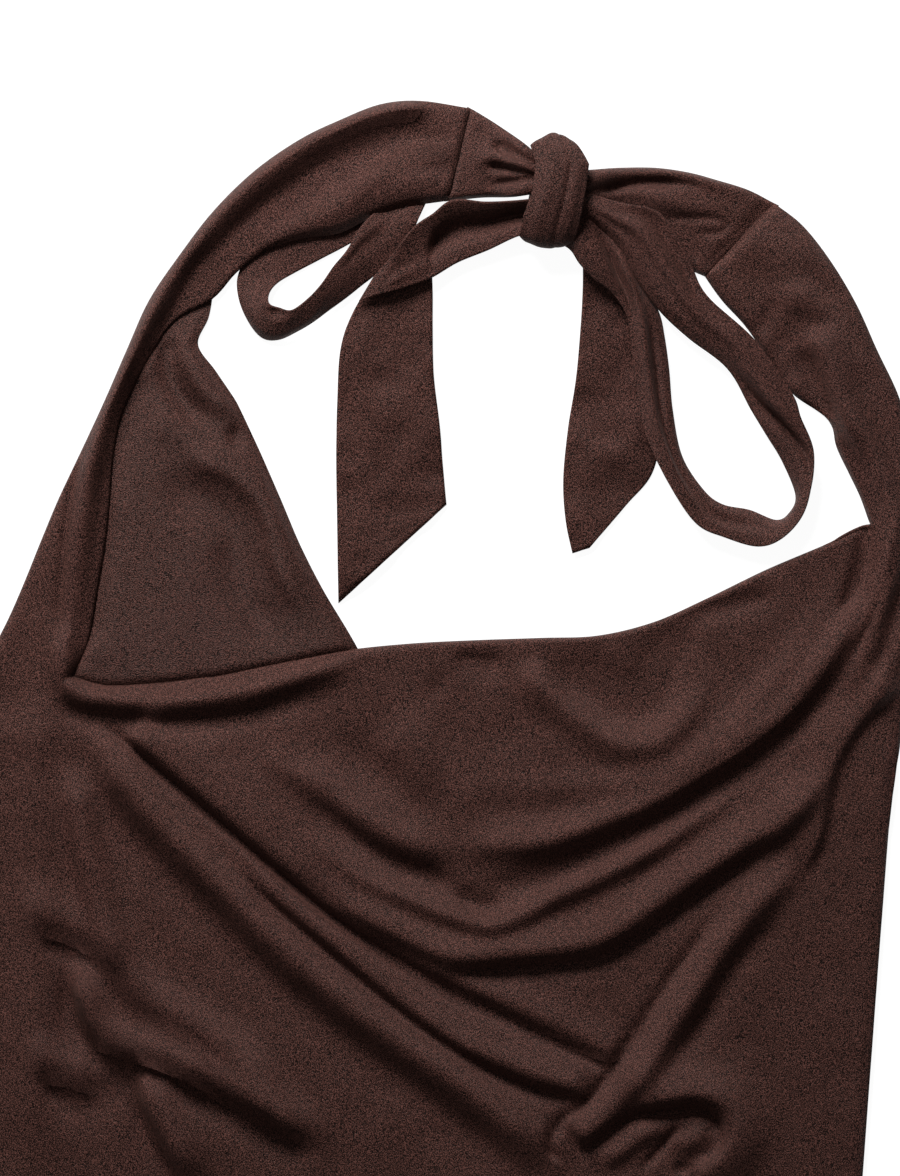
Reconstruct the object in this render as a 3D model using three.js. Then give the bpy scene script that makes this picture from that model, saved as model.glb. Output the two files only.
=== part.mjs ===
// A halter top laid flat, front up: draped front with wide straps, inner facing,
// back, and the two ties knotted in a bow. Millimetres, X across, Y up the garment,
// Z away from the surface that it lies on.
import * as THREE from 'three';

const wall = 1.2;          // cloth thickness
const seamGap = 0.3;       // room between pieces sewn together or lying on each other
const loft = 2;            // how far plain cloth stands off what is under it
const edgeRoll = 5;        // width over which a free edge turns down
const settle = 0.8;        // softness where a crease comes down to the layer below
const drapeReach = 6;      // how far from a lower layer the cloth comes down beside it
const samplePitch = 3;     // spacing of the points a fold line is measured at
const foldReach = 2.6;     // a fold fades out at this many of its own widths
const knotMiddle = { x: 54, y: 268, z: 10 };
const knotHalf = { y: 24.2, z: 9.2 };
const knotEdgeDrop = 2.4;  // how much nearer the middle the knot's two rims are
const knotTurns = 28;
const knotAcross = 6;
const gatherFull = 13;     // the tie necks are level with the knot's hole this near its middle
const gatherStart = 30;    // and begin to lift this far from it
const gatherBow = 0.25;    // share of their shape that they keep inside the knot
const gatherLevel = 60;    // the body's cloth, further below the knot, doesn't lift

const restHeight = wall / 2;
const stackedHeight = wall + seamGap + wall / 2;

// Left strap from the tie seam down to the neck corner.
const leftStrap = [
  { outer: [15.5, 306], crest: [14.5, 302.5], inner: [6, 265.5] },
  { outer: [-6.5, 307.5], crest: [-5.5, 303.5], inner: [-14.5, 261.5] },
  { outer: [-24, 306], crest: [-23, 302], inner: [-31, 255] },
  { outer: [-42, 299], crest: [-40.5, 295], inner: [-42.5, 249.5] },
  { outer: [-59.5, 290.5], crest: [-57.5, 286.5], inner: [-59.5, 247] },
  { outer: [-79, 277], crest: [-77, 273], inner: [-75.5, 241.5] },
  { outer: [-97, 259.5], crest: [-94, 255.5], inner: [-87.5, 232] },
  { outer: [-112, 240], crest: [-108.5, 236.5], inner: [-98, 220] },
  { outer: [-125.5, 220], crest: [-121.5, 218], inner: [-112, 210.5] },
  { outer: [-135, 199], crest: [-131.5, 197], inner: [-123.5, 192] },
  { outer: [-145, 176], crest: [-142, 174.5], inner: [-133.5, 170.5] },
  { outer: [-154.5, 155.5], crest: [-148.5, 153], inner: [-138, 150.5] },
  { outer: [-165, 133.5], crest: [-153.5, 132], inner: [-141, 130.5] },
  { outer: [-173, 114.5], crest: [-156, 113], inner: [-143, 112] },
  { outer: [-180.5, 96], crest: [-158.5, 94.5], inner: [-145, 93.5] },
  { outer: [-187, 81], crest: [-160, 79], inner: [-148.5, 75] },
  { outer: [-196.5, 61.5], crest: [-162.3, 63.5], inner: [-154.3, 56.5] },
];
const leftStrapParts = { rows: 2, toCrest: 4, toInner: 4 };

// Right strap from the tie seam down to the neck edge.
const rightStrap = [
  { inner: [119, 230.5], outer: [149.5, 262.5] },
  { inner: [126.5, 220], outer: [162, 252.5] },
  { inner: [136.5, 209], outer: [174.5, 236.5] },
  { inner: [146.5, 194.5], outer: [185.5, 218] },
  { inner: [157, 179.5], outer: [194.5, 198] },
  { inner: [173.5, 167], outer: [203.5, 179] },
  { inner: [177, 155.5], outer: [210, 158.5] },
  { inner: [182.5, 144], outer: [213.5, 141] },
  { inner: [187.5, 133.5], outer: [215, 128.5] },
  { inner: [191.8, 121.5], outer: [216, 114.5] },
];
const rightStrapParts = { rows: 2, across: 6 };

// The body: lines from side to side that follow the hanging folds. Each has its two
// ends in x, its height at every station across, and the rows down to the next line.
const stations = [0, .045, .083, .1023, .17, .24, .31, .38, .45, .52,
  .59, .65, .71, .77, .83, .89, .9414, .97, 1];
const stationParts = [2, 2, 4, 2, 2, 2, 2, 2, 2, 2, 2, 2, 2, 2, 2, 2, 3, 3];
const bodyLines = [
  { line: 'neck edge', rows: 2, ends: [-196.5, 216],
    y: [61.5, 63, 63.5, 56.5, 50.5, 54, 59.5, 65.5, 68.5, 70,
      71, 72, 78, 89, 101, 111.5, 121.5, 118, 114.5] },
  { line: 'roll crest', rows: 2, ends: [-204.5, 216],
    y: [48.5, 50.5, 51.5, 51, 46, 48.5, 54, 60.5, 64, 65.5,
      66.5, 68, 72, 83.5, 95.5, 106.5, 115.5, 112, 107.5] },
  { line: 'under the roll', rows: 4, ends: [-212.5, 216],
    y: [34.5, 38.5, 41.5, 42, 39, 39, 43.5, 53, 59, 61,
      61.5, 59, 57, 71, 86.5, 100, 109, 105, 100.5] },
  { line: 'third swag', rows: 3, ends: [-215.5, 214.5],
    y: [26.5, 31, 34.5, 35, 32.5, 28.5, 22, 9, -7.5, -15.5,
      -13, -9, -1, 11.5, 27, 51, 87.5, 91.5, 88] },
  { line: 'third swag foot', rows: 5, ends: [-215, 212.5],
    y: [19.5, 24.5, 28.5, 30, 28, 22.5, 14, -3.5, -22.5, -32.5,
      -29.5, -22, -12, 2, 22, 45, 74, 79.5, 75.5] },
  { line: 'lowest swag', rows: 4, ends: [-214.5, 208],
    y: [11, 17, 22, 23.5, 20, 6.5, -14, -37.5, -54.5, -63,
      -65.5, -64.5, -52, -36, -18.5, 6, 35.5, 51, 56.5] },
  { line: 'inner fold crease', rows: 5, ends: [-214, 206],
    y: [-1.5, 6, 12, 14, 10, -6, -29, -52, -72.5, -88.5,
      -101.5, -113, -118.5, -90.5, -59, -30, 12.5, 34, 38.5] },
  { line: 'corner fold', rows: 7, ends: [-212, 204.5],
    y: [-15.5, -7, .5, 3.5, -2.5, -24, -49, -72, -94.5, -115.5,
      -141, -154, -148.5, -124, -85, -47.5, -15.5, 6.5, 24] },
  { line: 'below the folds', rows: 5, ends: [-210, 199.5],
    y: [-46, -37, -29.5, -25.5, -33, -56, -84, -110.5, -133.5, -154.5,
      -178.5, -191.5, -190, -176, -147, -105.5, -70.5, -48.5, -13] },
  { line: 'waist', rows: 6, ends: [-199.5, 187],
    y: [-180, -181, -182, -183, -186, -192, -200, -208, -216, -224,
      -231, -235, -234, -228, -218, -204, -191, -185, -180] },
  { line: 'hem', rows: 0, ends: [-195, 181],
    y: [-303, -303.5, -304, -304, -305, -306, -306.5, -307, -307, -307.5,
      -307, -307, -306.5, -306, -305.5, -304.5, -304, -303.5, -303] },
];

// Folds of the front, its straps and the tie necks. Left and right are the widths on
// either side of the way it runs; fade is the share of its length that each end takes.
const frontFolds = [
  { fold: 'neck roll', rise: 8, left: 5.3, right: 4.8, fade: [.04, .12],
    along: [[-3, 306], [-76, 275], [-125, 215], [-154, 132], [-162, 66], [-153, 47], [-99, 50], [-28, 63]] },
  { fold: 'left strap valley', rise: -2.5, left: 4.4, right: 5.3, fade: [.1, .1],
    along: [[-2, 298], [-42, 288], [-97, 246], [-131, 198], [-147, 130], [-156, 64]] },
  { fold: 'left strap', rise: 6, left: 10.6, right: 10.6, fade: [.05, .15],
    along: [[20, 282], [-20, 281], [-46, 264], [-84, 242]] },
  { fold: 'left tie', rise: 5, left: 7.9, right: 7, fade: [.5, 0],
    along: [[12, 286], [31, 281], [51, 276]] },
  { fold: 'right tie', rise: 5, left: 6.2, right: 7, fade: [0, .4],
    along: [[55, 272], [73, 272], [99, 266], [119, 254]] },
  { fold: 'right strap', rise: 3, left: 11.4, right: 11.4, fade: [.2, .4],
    along: [[129, 250], [156, 237], [176, 209]] },
  { fold: 'right strap roll', rise: 7, left: 6.2, right: 5.7, fade: [.15, .3],
    along: [[163, 207], [177, 174], [194, 130], [192, 92], [176, 53]] },
  { fold: 'right strap outside', rise: 4, left: 4.8, right: 4.4, fade: [.3, .3],
    along: [[207, 145], [198, 88], [178, 42]] },
  { fold: 'corner fold', rise: 11, left: 6.6, right: 14.1, fade: [.08, .1],
    along: [[-154, 39], [-136, 11], [-107, -18], [-68, -58], [-22, -95], [29, -136], [62, -164]] },
  { fold: 'inner fold', rise: 8, left: 5.3, right: 4.8, fade: [.2, .06],
    along: [[-136, 24], [-107, -5], [-68, -45], [-22, -81], [29, -110], [73, -128]] },
  { fold: 'inner fold crease', rise: -4, left: 2.6, right: 3.5, fade: [.1, .02],
    along: [[-147, 37], [-107, 0], [-68, -38], [-22, -73], [29, -99], [78, -120]] },
  { fold: 'broad fold', rise: 8, left: 18.5, right: 7.9, fade: [.15, .35],
    along: [[-134, 32], [-99, 2], [-66, -27], [-15, -62], [15, -71]] },
  { fold: 'first swag', rise: 6.5, left: 6.2, right: 6.6, fade: [.05, .4],
    along: [[35, 68], [55, 45], [82, 29], [109, 34], [122, 66], [147, 92]] },
  { fold: 'first swag hollow', rise: -4.5, left: 6.2, right: 7.5, fade: [.3, .3],
    along: [[48, 63], [81, 49], [103, 65], [125, 84]] },
  { fold: 'second swag', rise: 4, left: 7.5, right: 5.7, fade: [.4, .2],
    along: [[-46, 24], [-15, 0], [48, 5], [102, 17], [143, 44], [180, 88], [191, 106]] },
  { fold: 'third swag', rise: 6.5, left: 7.9, right: 6.2, fade: [.35, .15],
    along: [[-46, 13], [-2, -17], [48, -12], [102, 4], [150, 33], [180, 73], [191, 97]] },
  { fold: 'third swag foot', rise: -4, left: 4.8, right: 5.3, fade: [.1, .2],
    along: [[-7, -27], [29, -30], [75, -18], [120, 5], [163, 42], [188, 77]] },
  { fold: 'lowest swag', rise: 8, left: 7, right: 4, fade: [.25, .1],
    along: [[-18, -48], [2, -61], [42, -66], [95, -46], [136, -18], [172, 19], [198, 54]] },
  { fold: 'cross fold', rise: 9.5, left: 6.6, right: 7.5, fade: [.06, .05],
    along: [[166, -22], [138, -55], [117, -81], [92, -112], [59, -153]] },
  { fold: 'side fold', rise: 4.5, left: 3.1, right: 10.6, fade: [.05, .25],
    along: [[202, 49], [180, 19], [166, -22], [138, -62]] },
  { fold: 'whorl', rise: 7, left: 5.3, right: 7, fade: [.25, .2],
    along: [[90, -129], [116, -119], [131, -137], [117, -158]] },
  { fold: 'whorl hollow', rise: -4, left: 4, right: 4, fade: [.2, .2],
    along: [[71, -155], [92, -139], [119, -136], [122, -148]] },
  { fold: 'whorl inside', rise: 5, left: 4, right: 4.4, fade: [.2, .4],
    along: [[75, -161], [100, -143], [112, -140]] },
  { fold: 'left side', rise: 2, left: 10.6, right: 9.7, fade: [.2, .2],
    along: [[-178, 70], [-176, -44], [-174, -176]] },
  { fold: 'left run', rise: 4, left: 8.8, right: 10.6, fade: [.2, .3],
    along: [[-157, 33], [-146, -26], [-130, -80], [-81, -108], [-59, -128]] },
  { fold: 'left bump', rise: 6, left: 7, right: 4.4, fade: [.2, .3],
    along: [[-154, -77], [-139, -109], [-99, -123], [-48, -144]] },
  { fold: 'left low fold', rise: 5, left: 4.4, right: 13.2, fade: [.2, .4],
    along: [[-125, -128], [-103, -167], [-86, -202]] },
  { fold: 'neck rim', rise: 3, left: 3.5, right: 3.5, fade: [.15, .05],
    along: [[-28, 63], [37, 68], [90, 72], [147, 98], [190, 117]] },
  { fold: 'lower middle', rise: 4, left: 15, right: 16.7, fade: [.3, .4],
    along: [[73, -176], [55, -233], [37, -304]] },
  { fold: 'lower left', rise: 3, left: 17.6, right: 15, fade: [.3, .3],
    along: [[-81, -202], [-73, -255], [-90, -306]] },
  { fold: 'lower right', rise: 3, left: 13.2, right: 17.6, fade: [.3, .3],
    along: [[143, -180], [147, -242], [134, -306]] },
];

// The facing: its margin tucked under the neck roll and its free edge.
const facing = [
  { margin: [-108, 236.5], edge: [-98.5, 239.5] },
  { margin: [-111.5, 226.5], edge: [-97, 228.5] },
  { margin: [-118.5, 212], edge: [-100, 211] },
  { margin: [-129, 194.5], edge: [-100, 194.5] },
  { margin: [-137, 175], edge: [-87.5, 175] },
  { margin: [-142, 155], edge: [-78, 155] },
  { margin: [-145.5, 132], edge: [-68, 132] },
  { margin: [-147.5, 112], edge: [-59.5, 112] },
  { margin: [-149, 92.5], edge: [-49.5, 92.5] },
  { margin: [-152, 72.5], edge: [-37.5, 72.5] },
  { margin: [-154.5, 53], edge: [-26.5, 53] },
  { margin: [-154.5, 25.5], edge: [-13, 25.5] },
];
const facingFolds = [
  { fold: 'fold at the tip', rise: 2.5, left: 6, right: 5, fade: [.3, .3],
    along: [[-106, 203], [-103, 186], [-92, 176]] },
  { fold: 'middle', rise: 3, left: 12, right: 9, fade: [.3, .4],
    along: [[-115, 160], [-103, 128], [-90, 95]] },
  { fold: 'free edge', rise: 2, left: 6, right: 5, fade: [.3, .4],
    along: [[-84, 165], [-72, 132], [-60, 100]] },
];

// The back ends low, under the drape. Height of its top edge from left to right.
const backTop = [26.5, 12, 4.5, 25, 70.5];
const backHem = -303;
const backRows = 8;
const backAcross = 12;

// Tie necks from the strap seam into the knot.
const tieLeft = [
  { top: [15.9, 306], foot: [6.4, 265.5] },
  { top: [27.5, 295.5], foot: [21.5, 266] },
  { top: [38.5, 287.5], foot: [34, 266.5] },
  { top: [43.5, 284], foot: [41.5, 269.5] },
  { top: [47.5, 281.5], foot: [47.5, 271] },
];
const tieRight = [
  { top: [149.2, 262.8], foot: [118.7, 230.8] },
  { top: [137.5, 268.5], foot: [112, 234] },
  { top: [124.5, 272.5], foot: [104.5, 240] },
  { top: [111.5, 276], foot: [97, 248] },
  { top: [97, 278], foot: [88, 255.5] },
  { top: [81.5, 278], foot: [78.5, 262] },
  { top: [70, 277], foot: [70, 266] },
  { top: [62.5, 276.5], foot: [62.5, 267.5] },
];

// Ribbons by their two edges. The left loop ends in a stretch hidden under the strap.
const loopLeft = [
  { outer: [44, 261.5, 10.5], inner: [44, 251, 9.5] },
  { outer: [35, 262, 9], inner: [36.5, 248, 7] },
  { outer: [22, 261.5, 6], inner: [23.5, 242, 3.5] },
  { outer: [6.5, 258.5, 5], inner: [10, 236.5, 2.8] },
  { outer: [-9, 252.5, 6], inner: [-2, 231, 2.8] },
  { outer: [-26.5, 252.5, 7], inner: [-20.5, 227.5, 2.8] },
  { outer: [-42, 243, 7.5], inner: [-36.5, 220, 2.8] },
  { outer: [-51.5, 228, 8], inner: [-49.5, 212, 2] },
  { outer: [-61.5, 217.5, 8.5], inner: [-61.5, 206, 1] },
  { outer: [-70, 214, 9], inner: [-73.5, 203.5, 1] },
  { outer: [-74.5, 220, 9], inner: [-82.5, 212, 1] },
  { outer: [-74.5, 227, 6], inner: [-86, 223.5, .9] },
  { outer: [-71, 234, 1.5], inner: [-84, 235, .6] },
  { outer: [-63, 241, .6], inner: [-76, 248, .6] },
  { outer: [-46, 250, .6], inner: [-53, 262, .6] },
  { outer: [-26.5, 260.5, .6], inner: [-31, 273.5, .6] },
  { outer: [-6.5, 267, .6], inner: [-9, 279.5, .6] },
  { outer: [11, 270, .6], inner: [11, 281.5, .6] },
  { outer: [28.5, 272, .6], inner: [28.5, 279, .6] },
];
const hiddenStretch = loopLeft.slice(12);
const loopRight = [
  { outer: [62, 264.5, 10.5], inner: [62, 258.5, 10] },
  { outer: [69, 265.5, 10], inner: [70, 257, 9] },
  { outer: [82.5, 264, 9], inner: [79.5, 242, 7] },
  { outer: [97, 260.5, 8.5], inner: [90, 225.5, 6] },
  { outer: [110, 242, 8.5], inner: [99.5, 215, 6] },
  { outer: [119, 221, 8.5], inner: [112, 203, 6] },
  { outer: [141, 202, 8.5], inner: [128.5, 190, 6] },
  { outer: [157, 179, 8.5], inner: [143.5, 178, 5] },
  { outer: [162, 167, 9], inner: [152, 163.5, 5] },
  { outer: [166.5, 154, 9.5], inner: [158.5, 145, 4] },
  { outer: [165.5, 138.5, 9.5], inner: [159.5, 132, 3] },
  { outer: [161.5, 125, 9], inner: [156, 126, 2] },
  { outer: [152.5, 115, 8], inner: [150, 123, 1.5] },
  { outer: [142, 111.5, 7], inner: [138.5, 127.5, 1.2] },
  { outer: [127.5, 115.5, 7], inner: [126.5, 130, 1.2] },
  { outer: [115, 121.5, 7], inner: [118, 136.5, 1.2] },
  { outer: [103.5, 138, 7], inner: [108.5, 151.5, 1.5] },
  { outer: [93.5, 158.5, 6], inner: [104.5, 171.5, 2.8] },
  { outer: [89.5, 176, 5.5], inner: [103, 189, 2.8] },
  { outer: [87, 197, 5.5], inner: [101, 203.5, 3] },
  { outer: [86, 216.5, 6], inner: [94.5, 216.5, 4] },
  { outer: [73.5, 228, 7], inner: [85, 229, 6] },
  { outer: [65.5, 238.5, 9], inner: [72.5, 246.5, 8.5] },
  { outer: [62.5, 251.5, 10], inner: [62.5, 256.5, 10] },
];
const tailLeft = [
  { outer: [-36.5, 227, .6], inner: [-1.5, 236.5, .6] },
  { outer: [-39, 214.5, .6], inner: [-1, 223.5, .6] },
  { outer: [-42, 199, .6], inner: [-1, 207, .6] },
  { outer: [-43, 176, .6], inner: [-.5, 186.5, .6] },
  { outer: [-43.5, 149.5, .6], inner: [2, 165.5, .6] },
  { outer: [-43, 119, .6], inner: [3.5, 147, .6] },
  { outer: [-42.5, 86.5, .6], inner: [5, 130, .6] },
];
const tailRight = [
  { outer: [64.5, 251.5, 9.1], inner: [69, 244, 8.5] },
  { outer: [65, 238.5, 6.2], inner: [78, 232.5, 4.8] },
  { outer: [65, 224.5, 2], inner: [88.5, 222, 1.6] },
  { outer: [64, 207, .6], inner: [97, 204.5, .6] },
  { outer: [62, 185, .6], inner: [100.5, 181.5, .6] },
  { outer: [58.5, 163, .6], inner: [100, 163, .6] },
  { outer: [56.5, 141, .6], inner: [95.5, 143.5, .6] },
  { outer: [57.5, 123, .6], inner: [84, 129.5, .6] },
  { outer: [60.5, 108.5, .6], inner: [68, 111, .6] },
];

// The knot's wrap: its two rims at each turn round the ties, from the top of the
// garment over the upper side and back along the surface.
const knotRims = [
  { turn: 0, left: 48.5, right: 56.5 },
  { turn: 30, left: 42, right: 62.5 },
  { turn: 60, left: 44.5, right: 67.5 },
  { turn: 90, left: 43, right: 66 },
  { turn: 120, left: 39, right: 64 },
  { turn: 150, left: 37, right: 62 },
  { turn: 180, left: 42, right: 60 },
  { turn: 225, left: 38.5, right: 60.5 },
  { turn: 270, left: 42, right: 64 },
  { turn: 315, left: 42, right: 64 },
  { turn: 360, left: 48.5, right: 56.5 },
];

const brown = 0x412e2b;
const cloth = () => new THREE.MeshStandardMaterial({ color: brown, roughness: 0.6, metalness: 0 });

const mix = (a, b, t) => a + (b - a) * t;
const mixPoint = (a, b, t) => a.map((value, i) => mix(value, b[i], t));

function easeBetween(low, high, value) {
  return THREE.MathUtils.smoothstep(value, low, high);
}

// A smooth line through points of two or three numbers, read at a row number.
function rail(points) {
  const flat = points[0].length === 2;
  const vectors = points.map(([x, y, z = 0]) => new THREE.Vector3(x, y, z));
  const line = new THREE.CatmullRomCurve3(vectors, false, 'catmullrom');
  return (row) => {
    const p = line.getPoint(row / (points.length - 1));
    return flat ? [p.x, p.y] : [p.x, p.y, p.z];
  };
}

function nearestOnLine(line, x, y) {
  let best = { distance: Infinity, along: 0, side: 1 };
  for (let i = 0; i + 1 < line.length; i += 1) {
    const [ax, ay] = line[i];
    const dx = line[i + 1][0] - ax;
    const dy = line[i + 1][1] - ay;
    const share = THREE.MathUtils.clamp(((x - ax) * dx + (y - ay) * dy) / (dx * dx + dy * dy), 0, 1);
    const distance = Math.hypot(x - ax - share * dx, y - ay - share * dy);
    if (distance < best.distance) {
      best = { distance, along: (i + share) / (line.length - 1), side: dx * (y - ay) - dy * (x - ax) };
    }
  }
  return best;
}

function isInside(outline, x, y) {
  let inside = false;
  for (let i = 0, j = outline.length - 1; i < outline.length; j = i, i += 1) {
    const [ax, ay] = outline[i];
    const [bx, by] = outline[j];
    if ((ay > y) !== (by > y) && x < ax + (bx - ax) * (y - ay) / (by - ay)) {
      inside = !inside;
    }
  }
  return inside;
}

function withLine(fold) {
  const curve = new THREE.SplineCurve(fold.along.map(([x, y]) => new THREE.Vector2(x, y)));
  const steps = Math.ceil(curve.getLength() / samplePitch);
  return { ...fold, line: curve.getSpacedPoints(steps).map((p) => [p.x, p.y]) };
}

function foldsAt(folds, x, y) {
  let sum = 0;
  for (const fold of folds) {
    const { distance, along, side } = nearestOnLine(fold.line, x, y);
    const width = side > 0 ? fold.left : fold.right;
    if (distance < foldReach * width) {
      const start = easeBetween(0, fold.fade[0] || 1e-6, along);
      const end = easeBetween(0, fold.fade[1] || 1e-6, 1 - along);
      sum += fold.rise * Math.exp(-((distance / width) ** 2)) * start * end;
    }
  }
  return sum;
}

const lineRail = (rows, name) => rows.map((row) => row[name].slice(0, 2));
const ringOf = (rows, a, b) => [...lineRail(rows, a), ...lineRail(rows, b).reverse()];

const shapedFrontFolds = frontFolds.map(withLine);
const shapedFacingFolds = facingFolds.map(withLine);

const leftSide = bodyLines.map((line) => [line.ends[0], line.y[0]]);
const rightSide = bodyLines.map((line) => [line.ends[1], line.y.at(-1)]);
const sideAt = (side, y) => {
  const i = Math.max(1, side.findIndex((point) => point[1] <= y));
  const [ax, ay] = side[i - 1];
  const [bx, by] = side[i];
  return mix(ax, bx, (y - ay) / (by - ay));
};

// Free edges of everything draped as one sheet: the outside from the left tie round by
// the hem to the right tie, and the inside along both straps and the neck.
const neckEdge = bodyLines[0].y.map((y, i) => [mix(...bodyLines[0].ends, stations[i]), y]).slice(3, -2);
const freeEdges = [
  [...lineRail(tieLeft, 'top').reverse(), ...lineRail(leftStrap, 'outer'), ...leftSide,
    ...rightSide.toReversed(), ...lineRail(rightStrap, 'outer').reverse(), ...lineRail(tieRight, 'top')],
  [...lineRail(tieLeft, 'foot').reverse(), ...lineRail(leftStrap, 'inner'), ...neckEdge,
    ...lineRail(rightStrap, 'inner').reverse(), ...lineRail(tieRight, 'foot')],
];

const backOutline = [
  ...backTop.map((y, i) => [mix(leftSide[3][0], rightSide[4][0], i / (backTop.length - 1)), y]),
  [rightSide.at(-1)[0], backHem],
  [leftSide.at(-1)[0], backHem],
];
const layersBelow = [backOutline, ringOf(facing, 'margin', 'edge'), ringOf(hiddenStretch, 'outer', 'inner')];

// Lowest the middle of the draped cloth may lie at a point.
function lowest(x, y) {
  let cover = 0;
  for (const outline of layersBelow) {
    const closed = [...outline, outline[0]];
    const apart = isInside(outline, x, y) ? 0 : nearestOnLine(closed, x, y).distance;
    cover = Math.max(cover, 1 - easeBetween(wall, drapeReach, apart));
  }
  return mix(restHeight, stackedHeight, cover);
}

function drapedHeight(x, y) {
  const fromEdge = Math.min(...freeEdges.map((edge) => nearestOnLine(edge, x, y).distance));
  const inward = Math.min(1, fromEdge / edgeRoll);
  const roll = Math.sqrt(1 - (1 - inward) ** 2);
  const height = loft + foldsAt(shapedFrontFolds, x, y);
  const kept = (height + Math.hypot(height, settle)) / 2;
  const drape = lowest(x, y) + kept * roll;
  if (Math.abs(y - knotMiddle.y) > gatherLevel) return drape;
  const gathered = 1 - easeBetween(gatherFull, gatherStart, Math.abs(x - knotMiddle.x));
  return mix(drape, knotMiddle.z + (drape - restHeight - loft) * gatherBow, gathered);
}

const lift = (heightAt) => ([x, y]) => [x, y, heightAt(x, y)];

// Rows of points between rails: parts[i] columns from rail i to rail i + 1.
function rowsBetween(rails, sections, rowsEach, parts) {
  const rows = [];
  const last = (sections - 1) * rowsEach;
  for (let r = 0; r <= last; r += 1) {
    const on = rails.map((read) => read(r / rowsEach));
    const row = [on[0]];
    parts.forEach((count, i) => {
      for (let c = 1; c <= count; c += 1) {
        row.push(mixPoint(on[i], on[i + 1], c / count));
      }
    });
    rows.push(row);
  }
  return rows;
}

function bodyRows() {
  const columns = [0];
  stationParts.forEach((count, i) => {
    for (let c = 1; c <= count; c += 1) {
      columns.push(i + c / count);
    }
  });
  const across = rail(stations.map((share, i) => [i, share]));
  const lines = bodyLines.map((line) => {
    const height = rail(line.y.map((y, i) => [i, y]));
    return columns.map((column) => {
      const share = mix(stations[Math.floor(column)], stations[Math.ceil(column)], column % 1);
      return [mix(...line.ends, share), height(column)[1], across(column)[1]];
    });
  });
  const rows = [];
  bodyLines.forEach((line, i) => {
    for (let r = 0; r < line.rows; r += 1) {
      rows.push(lines[i].map((point, c) => mixPoint(point, lines[i + 1][c], r / line.rows)));
    }
  });
  rows.push(lines.at(-1));
  return rows.map((row) => row.map(([x, y]) => [x, y]));
}

// Points and triangles of one or more patches, joined where their points meet.
function joinPatches(patches) {
  const points = [];
  const known = new Map();
  const faces = [];
  const indexOf = (point) => {
    const key = point.map((value) => value.toFixed(3)).join(' ');
    if (!known.has(key)) {
      known.set(key, points.length);
      points.push(new THREE.Vector3(...point));
    }
    return known.get(key);
  };
  for (const rows of patches) {
    const ids = rows.map((row) => row.map(indexOf));
    for (let r = 0; r + 1 < ids.length; r += 1) {
      for (let c = 0; c + 1 < ids[r].length; c += 1) {
        const [a, b, d, e] = [ids[r][c], ids[r][c + 1], ids[r + 1][c], ids[r + 1][c + 1]];
        const split = points[a].distanceTo(points[e]) < points[b].distanceTo(points[d]);
        const pair = split ? [[a, b, e], [a, e, d]] : [[a, b, d], [b, e, d]];
        faces.push(...pair.filter((face) => new Set(face).size === 3));
      }
    }
  }
  return { points, faces };
}

function pointNormals(points, faces) {
  const normals = points.map(() => new THREE.Vector3());
  for (const [a, b, c] of faces) {
    const along = points[b].clone().sub(points[a]);
    const across = points[c].clone().sub(points[a]);
    const normal = along.cross(across);
    [a, b, c].forEach((i) => normals[i].add(normal));
  }
  return normals.map((normal) => normal.normalize());
}

// Gives a surface its wall, half to each side, and closes its edges.
function thickened({ points, faces }, thickness = wall) {
  const normals = pointNormals(points, faces);
  const moved = (by) => points.map((point, i) => point.clone().addScaledVector(normals[i], by));
  const all = [...moved(thickness / 2), ...moved(-thickness / 2)];
  const below = points.length;
  const triangles = [...faces, ...faces.map(([a, b, c]) => [c + below, b + below, a + below])];
  const edges = new Set(faces.flatMap(([a, b, c]) => [`${a} ${b}`, `${b} ${c}`, `${c} ${a}`]));
  for (const edge of edges) {
    const [a, b] = edge.split(' ').map(Number);
    if (!edges.has(`${b} ${a}`)) {
      triangles.push([b, a, a + below], [b, a + below, b + below]);
    }
  }
  const volume = triangles.reduce((sum, [a, b, c]) => sum + all[a].dot(all[b].clone().cross(all[c])), 0);
  return { points: all, triangles: volume < 0 ? triangles.map(([a, b, c]) => [c, b, a]) : triangles };
}

function piece(name, { points, triangles }) {
  const geometry = new THREE.BufferGeometry();
  const places = points.flatMap((p) => [p.x, p.y, p.z]);
  geometry.setAttribute('position', new THREE.Float32BufferAttribute(places, 3));
  geometry.setIndex(triangles.flat());
  geometry.computeVertexNormals();
  const mesh = new THREE.Mesh(geometry, cloth());
  mesh.name = name;
  return mesh;
}

function makeFront() {
  const body = bodyRows().map((row) => row.map(lift(drapedHeight)));
  const { rows, toCrest, toInner } = leftStrapParts;
  const leftRails = ['outer', 'crest', 'inner'].map((name) => rail(lineRail(leftStrap, name)));
  const left = rowsBetween(leftRails, leftStrap.length, rows, [toCrest, toInner])
    .map((row) => row.map(lift(drapedHeight)));
  left[left.length - 1] = body[0].slice(0, toCrest + toInner + 1);
  const rightRails = ['inner', 'outer'].map((name) => rail(lineRail(rightStrap, name)));
  const right = rowsBetween(rightRails, rightStrap.length, rightStrapParts.rows, [rightStrapParts.across])
    .map((row) => row.map(lift(drapedHeight)));
  right[right.length - 1] = body[0].slice(-rightStrapParts.across - 1);
  return piece('front', thickened(joinPatches([body, left, right])));
}

function makeTieNeck(name, sections) {
  const rails = ['top', 'foot'].map((edge) => rail(lineRail(sections, edge)));
  const rows = rowsBetween(rails, sections.length, 2, [6]).map((row) => row.map(lift(drapedHeight)));
  return piece(name, thickened(joinPatches([rows])));
}

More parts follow.
